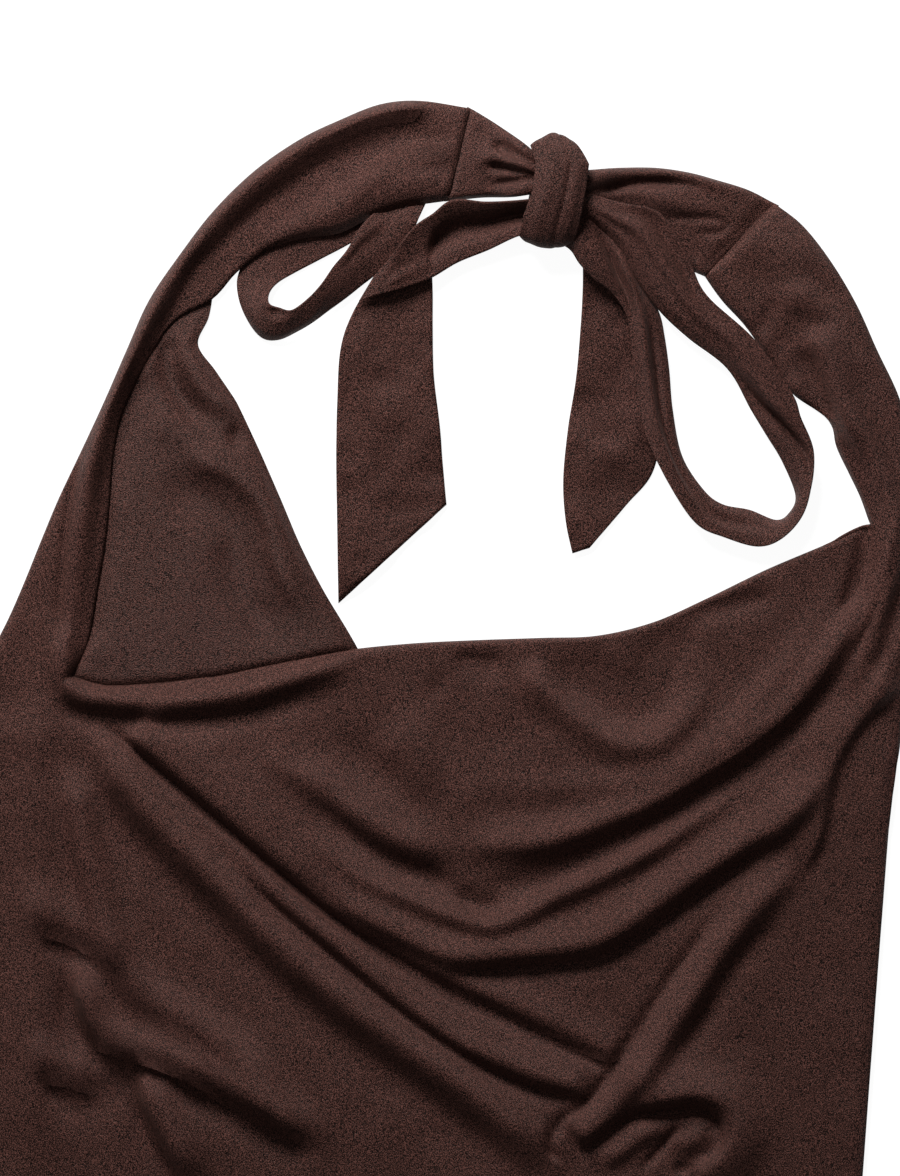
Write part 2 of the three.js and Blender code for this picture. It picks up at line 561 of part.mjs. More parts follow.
function makeFacing() {
  const rails = ['margin', 'edge'].map((edge) => rail(lineRail(facing, edge)));
  const heightAt = (x, y) => restHeight + foldsAt(shapedFacingFolds, x, y);
  const rows = rowsBetween(rails, facing.length, 2, [9]).map((row) => row.map(lift(heightAt)));
  return piece('facing', thickened(joinPatches([rows])));
}

function makeBack() {
  const top = rail(backTop.map((y, i) => [i, y]));
  const rows = [];
  for (let r = 0; r <= backRows; r += 1) {
    const down = r / backRows;
    const left = sideAt(leftSide, mix(backTop[0], backHem, down));
    const right = sideAt(rightSide, mix(backTop.at(-1), backHem, down));
    const row = [];
    for (let c = 0; c <= backAcross; c += 1) {
      const share = c / backAcross;
      const edge = top(share * (backTop.length - 1))[1];
      row.push([mix(left, right, share), mix(edge, backHem, down), restHeight]);
    }
    rows.push(row);
  }
  return piece('back', thickened(joinPatches([rows])));
}

// A ribbon between two edge rails, bowed up between them by arch.
function makeRibbon(name, sections, { rows, across, arch }) {
  const rails = ['outer', 'inner'].map((edge) => rail(sections.map((section) => section[edge])));
  const flat = rowsBetween(rails, sections.length, rows, [across]);
  const bowed = flat.map((row, r) => {
    const along = r / (flat.length - 1);
    return row.map(([x, y, z], c) => [x, y, z + arch(along) * Math.sin(Math.PI * c / across)]);
  });
  return piece(name, thickened(joinPatches([bowed])));
}

function makeKnot() {
  const rimAt = (side, turn) => {
    const i = knotRims.findIndex((rim) => rim.turn >= turn) || 1;
    const [low, high] = [knotRims[i - 1], knotRims[i]];
    return mix(low[side], high[side], easeBetween(low.turn, high.turn, turn));
  };
  const rows = [];
  for (let r = 0; r <= knotTurns; r += 1) {
    const turn = (r % knotTurns) * 360 / knotTurns;
    const angle = THREE.MathUtils.degToRad(turn);
    const row = [];
    for (let c = 0; c <= knotAcross; c += 1) {
      const share = c / knotAcross;
      const drop = knotEdgeDrop * (1 - Math.sin(Math.PI * share));
      row.push([
        mix(rimAt('left', turn), rimAt('right', turn), share),
        knotMiddle.y + (knotHalf.y - drop) * Math.cos(angle),
        knotMiddle.z + (knotHalf.z - drop) * Math.sin(angle),
      ]);
    }
    rows.push(row);
  }
  return piece('knot', thickened(joinPatches([rows])));
}

const flatWhereHidden = (along) => 2 * (1 - easeBetween(.45, .62, along));
const evenBow = () => 1.5;
const flatUnderBand = (along) => 1.5 * easeBetween(.1, .5, along);
const flatUnderLoop = (along) => easeBetween(.3, .6, along);

const top = new THREE.Group();
top.name = 'halter_top';
top.add(
  makeFront(),
  makeFacing(),
  makeBack(),
  makeTieNeck('tie_left', tieLeft),
  makeTieNeck('tie_right', tieRight),
  makeKnot(),
  makeRibbon('loop_left', loopLeft, { rows: 2, across: 4, arch: flatWhereHidden }),
  makeRibbon('loop_right', loopRight, { rows: 2, across: 4, arch: evenBow }),
  makeRibbon('tail_left', tailLeft, { rows: 2, across: 6, arch: flatUnderBand }),
  makeRibbon('tail_right', tailRight, { rows: 2, across: 6, arch: flatUnderLoop }),
);

export default top;
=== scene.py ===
# A halter top laid flat on a pale floor, front up, as fine cloth over the CAD solids.
# Sizes are in millimetres until a mesh is made; X across, Y up the garment, Z off the floor.
import math

import bmesh
import bpy
import numpy as np
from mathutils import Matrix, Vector


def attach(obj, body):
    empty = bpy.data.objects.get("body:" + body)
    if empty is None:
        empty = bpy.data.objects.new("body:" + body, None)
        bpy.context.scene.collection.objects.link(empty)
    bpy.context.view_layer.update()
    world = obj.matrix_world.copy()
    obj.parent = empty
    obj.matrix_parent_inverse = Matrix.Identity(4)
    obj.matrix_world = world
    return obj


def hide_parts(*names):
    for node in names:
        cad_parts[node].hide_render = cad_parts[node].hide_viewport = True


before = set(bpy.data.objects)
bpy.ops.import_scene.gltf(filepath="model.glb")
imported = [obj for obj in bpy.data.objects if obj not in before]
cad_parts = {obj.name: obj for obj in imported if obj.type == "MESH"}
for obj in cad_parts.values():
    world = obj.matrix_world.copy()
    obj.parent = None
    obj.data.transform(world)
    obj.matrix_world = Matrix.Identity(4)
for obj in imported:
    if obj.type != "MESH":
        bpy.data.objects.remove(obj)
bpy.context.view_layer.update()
mm = 0.001
print("frame loaded:", sorted(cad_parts))

cloth = {
    "thickness": 0.8,
    "loft": 2.0,          # plain cloth stands this far off what is under it
    "edgeRoll": 5.0,      # a free edge turns down over this width
    "crispRoll": 2.2,     # but only this much along the neck, right of the roll
    "crispFrom": -45.0,   # it goes over from one to the other from here in x
    "crispOver": 60.0,    # and over this width
    "settle": 0.8,        # softness where a crease meets the layer below
    "low": 0.6,           # middle of the cloth where it lies on the floor
    "stacked": 2.1,       # and where it lies on another layer
    "drapeFrom": 1.2,     # the step over a layer below starts this far beside it
    "drapeReach": 22.0,   # and is eased out to here
    "foldReach": 2.7,     # a fold ends at this many of its own widths
}

camera = {"middle": (6.6, 93.3, 6.0), "height": 5000.0, "frameTall": 517.4, "sensor": 36.0,
          "clipEnd": 50.0}

light = {
    "key": {"at": (-450, 1510, 930), "size": 800, "power": 72.0},
    "side": {"at": (-1300, 300, 1100), "size": 900, "power": 2.0},
    "sky": 0.14,
}

paper = {"half": 4.0, "below": 0.0002, "tone": 0.13, "glow": 0.95, "roughness": 0.9, "shine": 0.1}


# lines and sheets of points

def smoothRail(points):
    points = np.array(points, float)
    ends = np.vstack([2 * points[0] - points[1], points, 2 * points[-1] - points[-2]])

    def read(place):
        place = np.asarray(place, float)
        i = np.clip(place.astype(int), 0, len(points) - 2)
        f = (place - i)[..., None]
        a, b, c, d = ends[i], ends[i + 1], ends[i + 2], ends[i + 3]
        return b + 0.5 * f * (c - a + f * (2 * a - 5 * b + 4 * c - d + f * (3 * (b - c) + d - a)))

    return read


def evenLine(points, pitch=2.5):
    read = smoothRail(points)
    fine = read(np.linspace(0, len(points) - 1, 24 * len(points)))
    length = np.concatenate([[0], np.cumsum(np.hypot(*np.diff(fine, axis=0).T[:2]))])
    steps = max(3, int(length[-1] / pitch) + 1)
    return np.stack([np.interp(np.linspace(0, length[-1], steps), length, fine[:, k])
                     for k in range(fine.shape[1])], axis=1)


def nearest(line, x, y):
    best = np.full(x.shape, np.inf)
    along = np.zeros(x.shape)
    side = np.zeros(x.shape)
    for i in range(len(line) - 1):
        ax, ay = line[i][:2]
        dx, dy = line[i + 1][0] - ax, line[i + 1][1] - ay
        long = dx * dx + dy * dy + 1e-9
        share = np.clip(((x - ax) * dx + (y - ay) * dy) / long, 0, 1)
        ex, ey = x - ax - share * dx, y - ay - share * dy
        gap = ex * ex + ey * ey
        closer = gap < best
        best = np.where(closer, gap, best)
        along = np.where(closer, (i + share) / (len(line) - 1), along)
        side = np.where(closer, dx * (y - ay) - dy * (x - ax), side)
    return np.sqrt(best), along, side


def inside(outline, x, y):
    found = np.zeros(x.shape, bool)
    for (ax, ay), (bx, by) in zip(outline, outline[1:] + outline[:1]):
        crosses = (ay > y) != (by > y)
        found ^= crosses & (x < ax + (bx - ax) * (y - ay) / (by - ay + 1e-12))
    return found


def ease(value):
    value = np.clip(value, 0, 1)
    return value * value * (3 - 2 * value)


def softNoise(x, y, size, seed):
    cells, far = 64, 200.0      # a lattice of this many cells, read far from its corner
    lattice = np.random.default_rng(seed).uniform(-1, 1, (cells, cells))
    u, v = x / size + far, y / size + far
    i, j = np.floor(u).astype(int), np.floor(v).astype(int)
    fu, fv = ease(u - i), ease(v - j)

    def pick(a, b):
        return lattice[a % cells, b % cells]

    low = pick(i, j) * (1 - fu) + pick(i + 1, j) * fu
    high = pick(i, j + 1) * (1 - fu) + pick(i + 1, j + 1) * fu
    return low * (1 - fv) + high * fv


def foldsAt(folds, x, y):
    height = np.zeros(x.shape)
    for name, rise, left, right, fadeIn, fadeOut, points in folds:
        line = evenLine(points)
        reach = cloth["foldReach"] * max(left, right)
        near = ((x > line[:, 0].min() - reach) & (x < line[:, 0].max() + reach)
                & (y > line[:, 1].min() - reach) & (y < line[:, 1].max() + reach))
        if not near.any():
            continue
        gap, along, side = nearest(line, x[near], y[near])
        width = np.where(side > 0, left, right)
        shape = np.exp(-(gap / width) ** 2)
        shape *= ease(along / max(fadeIn, 1e-3)) * ease((1 - along) / max(fadeOut, 1e-3))
        height[near] += rise * shape
    return height


# the front, with both straps and the gathered stretches of the ties

front = {
    # left strap from the tie seam to the neck corner: outer edge, crest of the roll, inner edge
    "leftStrap": [
        ((15.5, 304.2), (14.5, 301), (6, 264)),
        ((-6.5, 307.5), (-5.5, 303.5), (-14.5, 260.8)),
        ((-24, 306), (-23, 302), (-31, 255)),
        ((-42, 299), (-40.5, 295), (-42.5, 249.5)),
        ((-59.5, 290.5), (-57.5, 286.5), (-59.5, 247)),
        ((-79, 277), (-77, 273), (-75.5, 241.5)),
        ((-97, 259.5), (-94, 255.5), (-87.5, 232)),
        ((-112, 240), (-108.5, 236.5), (-98, 220.5)),
        ((-125.5, 220), (-121.5, 218), (-115, 211)),
        ((-135, 199), (-131.5, 197), (-127.5, 192)),
        ((-145, 176), (-142, 174.5), (-138, 171)),
        ((-154.5, 155.5), (-148.5, 153), (-142, 151)),
        ((-165, 133.5), (-153.5, 132), (-143.5, 131)),
        ((-173, 114.5), (-156, 113), (-145.5, 112)),
        ((-180.5, 96), (-158.5, 94.5), (-148.5, 94)),
        ((-187, 81), (-160.5, 79), (-151.5, 76)),
        ((-192, 71), (-162.5, 70), (-154, 66)),
        ((-196.5, 61.5), (-163.9, 62), (-160, 54.5)),
    ],
    # right strap from the tie seam to the neck edge: inner edge, outer edge
    "rightStrap": [
        ((119, 230.5), (149.5, 262.5)),
        ((126.5, 220), (162, 252.5)),
        ((136.5, 209), (174.5, 236.5)),
        ((146.5, 194.5), (185.5, 218)),
        ((157, 179.5), (194.5, 198)),
        ((173.5, 167), (203.5, 179)),
        ((177, 155.5), (210, 158.5)),
        ((182.5, 144), (213.5, 141)),
        ((187.5, 133.5), (215, 128.5)),
        ((191.8, 121.5), (216, 114.5)),
    ],
    # the ties from the strap's seam into the knot: upper edge, lower edge
    "leftTie": [
        ((15.9, 304.2), (6.4, 264)),
        ((27.5, 297), (21.5, 265.5)),
        ((38, 289.5), (34, 265.5)),
        ((43.5, 285), (41.5, 266.5)),
        ((47.5, 282.5), (47.5, 267.5)),
    ],
    "rightTie": [
        ((149.2, 262.8), (118.7, 230.8)),
        ((137.5, 268.5), (112, 234)),
        ((124.5, 272.5), (104.5, 240)),
        ((111.5, 276), (97, 248)),
        ((97, 278), (88, 255.5)),
        ((81.5, 278), (78.5, 262)),
        ((70, 277), (70, 266)),
        ((62.5, 276.5), (62.5, 267.5)),
    ],
    # shares of the way from side to side, and the columns between them
    "stations": [0, 0.042, 0.079, 0.0885, 0.13, 0.24, 0.31, 0.38, 0.45, 0.52,
                 0.59, 0.65, 0.71, 0.77, 0.83, 0.89, 0.9414, 0.97, 1],
    "columns": [11, 9, 9, 16, 17, 17, 17, 17, 17, 17, 14, 14, 14, 14, 14, 12, 8, 8],
    # lines across the body that follow its folds: name, rows to the next, its two ends in x,
    # height at each station
    "lines": [
        ("neck edge", 6, (-196.5, 216),
         [61.5, 62.5, 62, 54.5, 50.2, 54.3, 60, 65.5, 68.5, 70, 71,
          72, 78, 89, 101, 111.5, 121.5, 118, 114.5]),
        ("roll crest", 8, (-204.5, 216),
         [48.5, 50, 50, 47.5, 45, 48.5, 54, 60.5, 64, 65.5, 66.5,
          68, 72, 83.5, 95.5, 106.5, 115.5, 112, 107.5]),
        ("under the roll", 16, (-212.5, 216),
         [34.5, 37.5, 39, 39, 37.5, 39, 43.5, 53, 59, 61, 61.5,
          59, 57, 71, 86.5, 100, 109, 105, 100.5]),
        ("third swag", 12, (-215.5, 214.5),
         [26.5, 31, 34.5, 35, 32.5, 28.5, 22, 9, -7.5, -15.5, -13,
          -9, -1, 11.5, 27, 51, 87.5, 91.5, 88]),
        ("third swag foot", 20, (-215, 212.5),
         [19.5, 24.5, 28.5, 30, 28, 22.5, 14, -3.5, -22.5, -32.5, -29.5,
          -22, -12, 2, 22, 45, 74, 79.5, 75.5]),
        ("lowest swag", 15, (-214.5, 208),
         [11, 17, 22, 23.5, 20, 6.5, -14, -37.5, -54.5, -63, -65.5,
          -64.5, -52, -36, -18.5, 6, 35.5, 51, 56.5]),
        ("inner fold crease", 20, (-214, 206),
         [-1.5, 6, 12, 14, 10, -6, -29, -52, -72.5, -88.5, -101.5,
          -113, -118.5, -90.5, -59, -30, 12.5, 34, 38.5]),
        ("corner fold", 30, (-212, 204.5),
         [-15.5, -7, 0.5, 3.5, -2.5, -24, -49, -72, -94.5, -115.5, -141,
          -154, -148.5, -124, -85, -47.5, -15.5, 6.5, 24]),
        ("below the folds", 22, (-210, 199.5),
         [-46, -37, -29.5, -25.5, -33, -56, -84, -110.5, -133.5, -154.5, -178.5,
          -191.5, -190, -176, -147, -105.5, -70.5, -48.5, -13]),
        ("waist", 10, (-199.5, 187),
         [-180, -181, -182, -183, -186, -192, -200, -208, -216, -224, -231,
          -235, -234, -228, -218, -204, -191, -185, -180]),
        ("hem", 0, (-195, 181),
         [-303, -303.5, -304, -304, -305, -306, -306.5, -307, -307, -307.5, -307,
          -307, -306.5, -306, -305.5, -304.5, -304, -303.5, -303]),
    ],
    # name, rise, width left and right of its run, share faded in and out, run
    "folds": [
        ("left tie", 4, 7, 6.2, 0.5, 0,
         [(12, 286), (31, 281), (51, 276)]),
        ("left tie pleat 1", -7, 2.8, 2.4, 0.3, 0,
         [(24, 289.5), (31, 286), (39, 281.5), (47, 277)]),
        ("left tie pleat ridge", 4, 2.4, 2.4, 0.35, 0,
         [(28, 281.5), (36, 279.5), (46, 276)]),
        ("left tie pleat 2", -6, 2, 2, 0.35, 0,
         [(20, 279.5), (33, 278), (46, 274.5)]),
        ("left tie pleat 3", -4, 1.7, 1.7, 0.4, 0,
         [(24, 270.5), (36, 272.5), (46, 273.5)]),
        ("right tie", 3, 6.2, 7, 0, 0.4,
         [(55, 272), (73, 272), (99, 266), (119, 254)]),
        ("right tie rim", 2.5, 2.2, 2.6, 0.1, 0.3,
         [(68, 276), (90, 277), (117, 274), (139, 266)]),
        ("right tie pleat 1", -4, 2.8, 2.2, 0, 0.4,
         [(64, 267), (75, 268.5), (88, 271), (106, 271.5), (120, 269)]),
        ("right tie pleat 2", -1.4, 1.8, 1.8, 0.25, 0.2,
         [(98, 257), (110, 256.5), (122, 256), (128, 253.5), (126, 250), (112, 249.5)]),
        ("right tie seam shade", -3, 1.3, 4.5, 0.1, 0.3,
         [(149, 263), (139, 252), (129, 241), (119.5, 231.5)]),
        ("right tie ridge", 1, 4, 4, 0.3, 0.4,
         [(90, 266), (112, 261), (132, 259)]),
        ("right strap light", 2.5, 10.6, 10.6, 0.2, 0.4,
         [(129, 250), (156, 237), (176, 209)]),
        ("strap rim", 5.5, 9.5, 4.4, 0.04, 0.25,
         [(-3, 306), (-42, 297), (-76, 275), (-101, 252), (-118, 226), (-131, 199)]),
        ("neck roll", 6, 5.3, 4.6, 0.15, 0.55,
         [(-113, 234), (-125, 215), (-144, 172), (-154, 132),
          (-159, 88), (-162, 62), (-157, 46)]),
        ("neck corner roll", 4.6, 5, 5.5, 0.12, 0.15,
         [(-162, 84), (-163.5, 62), (-158, 47), (-140, 43.5), (-120, 43), (-100, 44.5), (-80, 48),
          (-62, 53), (-44, 58.5), (-30, 61)]),
        ("facing sliver", 2, 3, 2.5, 0.3, 0.3,
         [(-98, 237), (-99, 229), (-102, 221)]),
        ("strap end hollow", -3.5, 6, 6, 0.3, 0.1,
         [(-97, 246), (-105, 231), (-112, 217), (-120, 203)]),
        ("armhole crease", -2, 2.2, 2.2, 0.1, 0.3,
         [(-157, 153), (-162, 123), (-165, 88), (-166, 53)]),
        ("roll foot", -2.5, 4, 6, 0.1, 0.3,
         [(-167, 46), (-154, 38), (-124, 34.5), (-100, 35), (-80, 38), (-60, 46), (-40, 54)]),
        ("fan 1", 7.5, 10, 9, 0.1, 0.12,
         [(-150, 34), (-146, 24), (-140, 12), (-132, 1), (-113, -20), (-93, -40), (-73, -61),
          (-50, -81), (-26, -100), (-2, -116), (22, -134), (45, -154), (56, -166)]),
        ("fan 1 foot", -2.5, 8, 12, 0.1, 0.1,
         [(-157, 30), (-151, 12), (-138, -8), (-118, -30), (-98, -50), (-78, -70), (-54, -93),
          (-30, -112), (-5, -131), (20, -151), (34, -164)]),
        ("fan 2", 4.5, 9, 4, 0.3, 0.05,
         [(-110, 0), (-95, -16), (-80, -33), (-62, -49), (-38, -69), (-12, -91), (12, -107),
          (38, -119), (60, -127), (70, -130)]),
        ("fan 2 foot", -3, 3, 3.5, 0.35, 0.05,
         [(-104, -6), (-90, -22), (-75, -42), (-55, -60), (-35, -77), (-15, -93), (5, -108),
          (25, -120), (45, -128), (67, -131)]),
        ("fan crease", -5.5, 2.2, 2.4, 0.03, 0.04,
         [(-146, 35), (-130, 20), (-110, 3), (-90, -14), (-70, -31), (-50, -48), (-30, -62.5),
          (-10, -75), (10, -87), (30, -96), (50, -106), (78, -118)]),
        ("flat lip", 3.2, 9, 2.4, 0.25, 0.04,
         [(-16, -65), (4, -76), (24, -86), (44, -95.5), (62, -104.5), (80, -114)]),
        ("upper face", 5, 20, 7, 0.06, 0.4,
         [(-136, 33), (-105, 8), (-75, -17), (-52, -35), (-30, -50), (-12, -60)]),
        ("left fall", 5, 9, 7, 0.35, 0.2,
         [(-82, 24), (-60, 12), (-40, -2), (-20, -15), (-5, -21), (12, -22)]),
        ("left fall foot", -2.5, 4, 6, 0.4, 0.2,
         [(-60, 4), (-40, -12), (-20, -26), (0, -34), (14, -41)]),
        ("mid hollow", -2.2, 7, 7, 0.4, 0.4,
         [(-44, 34), (-34, 23), (-22, 11), (-6, 3)]),
        ("centre swell", 2.6, 15, 12, 0.4, 0.4,
         [(-26, 34), (-8, 16), (8, 14)]),
        ("swag 2", 2.4, 6, 5, 0.3, 0.25,
         [(-6, -6), (20, 3), (50, 4.5), (75, 6), (95, 11), (110, 18), (125, 28), (137, 38),
          (148, 50), (158, 64), (167, 78), (175, 93), (181, 106)]),
        ("swag 3", 5.5, 8, 6, 0.2, 0.12,
         [(0, -21), (30, -20), (50, -18), (70, -11), (85, -5), (100, 2), (115, 11), (130, 20),
          (145, 31), (155, 39), (165, 51), (173, 63), (181, 77), (188, 94)]),
        ("swag 3 foot", -2.6, 5.5, 6, 0.15, 0.15,
         [(12, -40), (28, -38), (50, -33.5), (75, -22), (90, -14.5), (105, -6), (120, 3),
          (135, 13), (150, 25), (162, 37), (172, 50), (181, 64)]),
        ("pocket", -5, 11, 6, 0.3, 0.3,
         [(46, 62), (58, 55), (72, 47), (84, 40), (93, 41), (99, 51), (106, 66), (120, 80)]),
        ("pocket deep", -3.5, 7, 7, 0.35, 0.35,
         [(78, 52), (88, 46), (95, 52)]),
        ("pocket rim", 4.5, 6, 6.5, 0.1, 0.45,
         [(38, 62), (45, 51), (53, 43), (62, 36), (72, 29), (82, 24.5), (92, 23.5), (100, 26),
          (108, 33), (115, 44), (119, 56), (121, 70)]),
        ("edge dimple", -2.6, 4, 6, 0.35, 0.35,
         [(6, 63), (20, 60), (34, 61)]),
        ("small dimple", -1.8, 5, 5, 0.4, 0.4,
         [(-2, 53), (4, 46)]),
        ("right hollow", -2.4, 5, 5, 0.4, 0.4,
         [(104, 74), (116, 82), (130, 85), (146, 89), (158, 89)]),
        ("u ridge", 4.5, 5.5, 4.5, 0.3, 0.3,
         [(-62, -13), (-50, -21), (-30, -35), (-10, -44), (4, -50), (20, -54.5), (30, -54),
          (42, -49), (52, -43), (70, -35), (90, -25), (110, -12), (130, 3), (145, 15)]),
        ("u hollow", -3, 5, 4.5, 0.35, 0.35,
         [(8, -38), (19, -47), (32, -45)]),
        ("lowest swag", 6.5, 11, 5, 0.15, 0.12,
         [(-56, -37), (-38, -47), (-20, -57), (0, -66), (15, -69), (30, -68.5), (45, -67.5),
          (60, -66), (70, -63.5), (80, -59.5), (95, -49), (110, -38), (125, -28), (140, -18),
          (152, -11), (164, 2), (174, 18)]),
        ("lowest swag foot", -3, 3, 5, 0.15, 0.2,
         [(0, -77), (20, -75), (45, -72.5), (68, -69.5), (82, -64), (100, -51), (115, -41),
          (130, -30), (145, -20), (160, -17)]),
        ("side lip", 3.6, 3, 11, 0.12, 0.2,
         [(206, 52), (197, 46), (188, 37), (180, 26), (174, 13), (171, 0), (169, -12), (165, -24),
          (158, -34)]),
        ("cross", 5.8, 6, 8, 0.25, 0.03,
         [(166, -20), (154, -34), (144, -44), (135, -55), (127, -66), (120, -77), (113, -88),
          (106, -98), (99, -109), (91, -120), (82, -131), (73, -141), (61, -150)]),
        ("cross crease", -3.6, 2, 2, 0.3, 0.05,
         [(127, -43), (120, -55), (113, -66), (106, -75), (99, -86), (92, -97), (86, -107),
          (78, -119), (68, -132), (57, -140), (51, -148), (51, -155), (56, -160)]),
        ("cross foot", -1.8, 6, 5, 0.4, 0.3,
         [(150, -50), (136, -65), (127, -77), (121, -90), (114, -102), (104, -114)]),
        ("swirl", 6.5, 13, 3, 0.15, 0.1,
         [(84, -135), (92, -133), (100, -132), (112, -130.5), (121, -132), (128, -138), (131, -147),
          (128, -155), (119, -160.5), (110, -163)]),
        ("swirl hollow", -2.8, 2.6, 2.6, 0.15, 0.1,
         [(62, -157), (73, -149), (82, -142.5), (92, -139), (104, -137.5), (115, -136.5),
          (123, -140), (126, -148)]),
        ("swirl 2", 2.8, 5, 4, 0.3, 0.3,
         [(70, -163), (80, -156), (90, -148.5), (99, -144.5), (106, -143.5)]),
        ("swirl crease", -2.4, 2.2, 2.2, 0.2, 0.3,
         [(109, -142), (104, -148), (98, -155), (90, -164)]),
        ("swirl 3", 2.8, 6, 5, 0.3, 0.3,
         [(107, -156), (112, -150.5), (121, -147.5)]),
        ("swirl 3 foot", -2.2, 2.4, 2.4, 0.2, 0.3,
         [(103, -162.5), (113, -162), (121, -158), (127.5, -151)]),
        ("left rise", 3.2, 10.6, 9.7, 0.2, 0.2,
         [(-176, 70), (-176, 18), (-176, -44), (-178, -110), (-174, -176)]),
        ("left run", 6, 8, 6, 0.12, 0.15,
         [(-160, 20), (-156, -10), (-150, -38), (-142, -62), (-132, -82), (-118, -93), (-100, -103),
          (-88, -112), (-75, -124), (-60, -136)]),
        ("left bump", 9, 8, 3.8, 0.08, 0.18,
         [(-158, -70), (-155, -82), (-152, -94), (-146, -103.5), (-136, -110), (-122, -112.5),
          (-106, -118.5), (-90, -127), (-74, -136), (-58, -145), (-44, -150)]),
        ("left bump foot", -4.2, 3.6, 4.6, 0.06, 0.2,
         [(-174, -122), (-163, -130), (-151, -133), (-141, -127), (-131, -121), (-120, -121),
          (-109, -127), (-94, -136), (-79, -145), (-64, -153), (-50, -157)]),
        ("left dent 1", -3.6, 3.6, 4.6, 0.25, 0.2,
         [(-177, -58), (-165, -63), (-155, -70), (-145, -80)]),
        ("left dent rise", 4.4, 9, 4.2, 0.25, 0.15,
         [(-186, -49), (-174, -51), (-162, -56), (-150, -63), (-141, -75)]),
        ("left dent 2", -5.5, 4, 4, 0.2, 0.2,
         [(-163, -80), (-161, -94), (-155, -107), (-145, -117.5)]),
        ("left shelf", 5, 7, 4.4, 0.25, 0.25,
         [(-182, -110), (-168, -117), (-157, -121), (-146, -118)]),
        ("left low", 9, 12, 3.2, 0.06, 0.4,
         [(-130, -121), (-123, -138), (-115, -153), (-103, -176)]),
        ("left low foot", -5, 3.2, 3.6, 0.25, 0.4,
         [(-133, -126), (-131, -138), (-126, -150), (-118, -164), (-108, -182)]),
        ("strap roll top", 6.5, 9, 3.2, 0.15, 0.35,
         [(164, 208), (169, 199), (173.5, 188), (177.5, 176), (183, 162), (189, 148)]),
        ("strap roll", 5, 6.2, 5.5, 0.2, 0.3,
         [(182, 172), (191, 154), (199, 132), (200, 113), (197, 96), (190, 78), (180, 62)]),
        ("strap edge", -5, 2.6, 3.4, 0.05, 0.4,
         [(190, 121), (189.5, 110), (187.5, 100), (183, 89), (176, 78)]),
        ("strap roll foot", -8, 3, 3.4, 0.25, 0.05,
         [(161, 198), (164.5, 190), (168.5, 179), (172.5, 168)]),
        ("strap mid", 3, 4.8, 4.4, 0.3, 0.3,
         [(207, 145), (204, 114), (198, 88), (191, 66), (178, 42)]),
        ("strap seam", -1.5, 1.6, 1.6, 0.2, 0.3,
         [(207, 123), (199, 98), (191, 77), (181, 58)]),
        ("strap side", 2.4, 6.2, 4.4, 0.3, 0.3,
         [(213, 106), (207, 79), (200, 58), (187, 36)]),
        ("strap dark", -2.4, 6, 5.3, 0.4, 0.4,
         [(156, 239), (167, 227), (179, 214)]),
        ("strap hollow", -2.2, 4, 4, 0.3, 0.3,
         [(141, 202), (147, 212), (151, 223)]),
        ("strap light", 2.5, 6.2, 6.2, 0.4, 0.4,
         [(145, 205), (156, 219), (166, 220), (176, 202)]),
        ("strap notch", -3, 3.6, 3.6, 0.3, 0.3,
         [(153, 208), (151, 198), (153, 188), (157, 181)]),
        ("left strap broad", 2, 17, 5, 0.1, 0.15,
         [(4, 286), (-22, 279), (-46, 267), (-66, 255.5), (-84, 243)]),
        ("left strap valley", -7, 10, 7, 0.08, 0.25,
         [(0, 298), (-20, 292), (-42, 281), (-62, 267.5), (-80, 253), (-96, 238), (-109, 222),
          (-122, 206)]),
        ("streak", 1.8, 2.4, 3.4, 0.15, 0.3,
         [(0, 297), (-14, 285), (-30, 272), (-44, 261), (-58, 253)]),
        ("streak dark", -1.5, 3.5, 3.5, 0.4, 0.4,
         [(-35, 274), (-44, 268)]),
        ("gather 1", -4.5, 3, 2.4, 0.05, 0.5,
         [(5, 289.5), (-4, 290), (-16, 286.5)]),
        ("gather 1 ridge", 2.2, 3, 2.6, 0.05, 0.5,
         [(5, 285.5), (-4, 285), (-16, 282)]),
        ("gather 2", -3, 2, 2, 0.05, 0.5,
         [(6, 279), (-4, 279), (-18, 278)]),
    ],
    "noise": [(0.35, 15, 3), (0.14, 6, 4)],      # height, size, seed
    # the left strap's inner edge, above and left of these, turns down over more
    "softRoll": {"more": 4.5, "above": 62, "leftOf": -100, "over": 20},
    "rowsEach": {"leftStrap": 6, "rightStrap": 7},
    "flat": (0.46, 0.74), "area": 0.215,
}

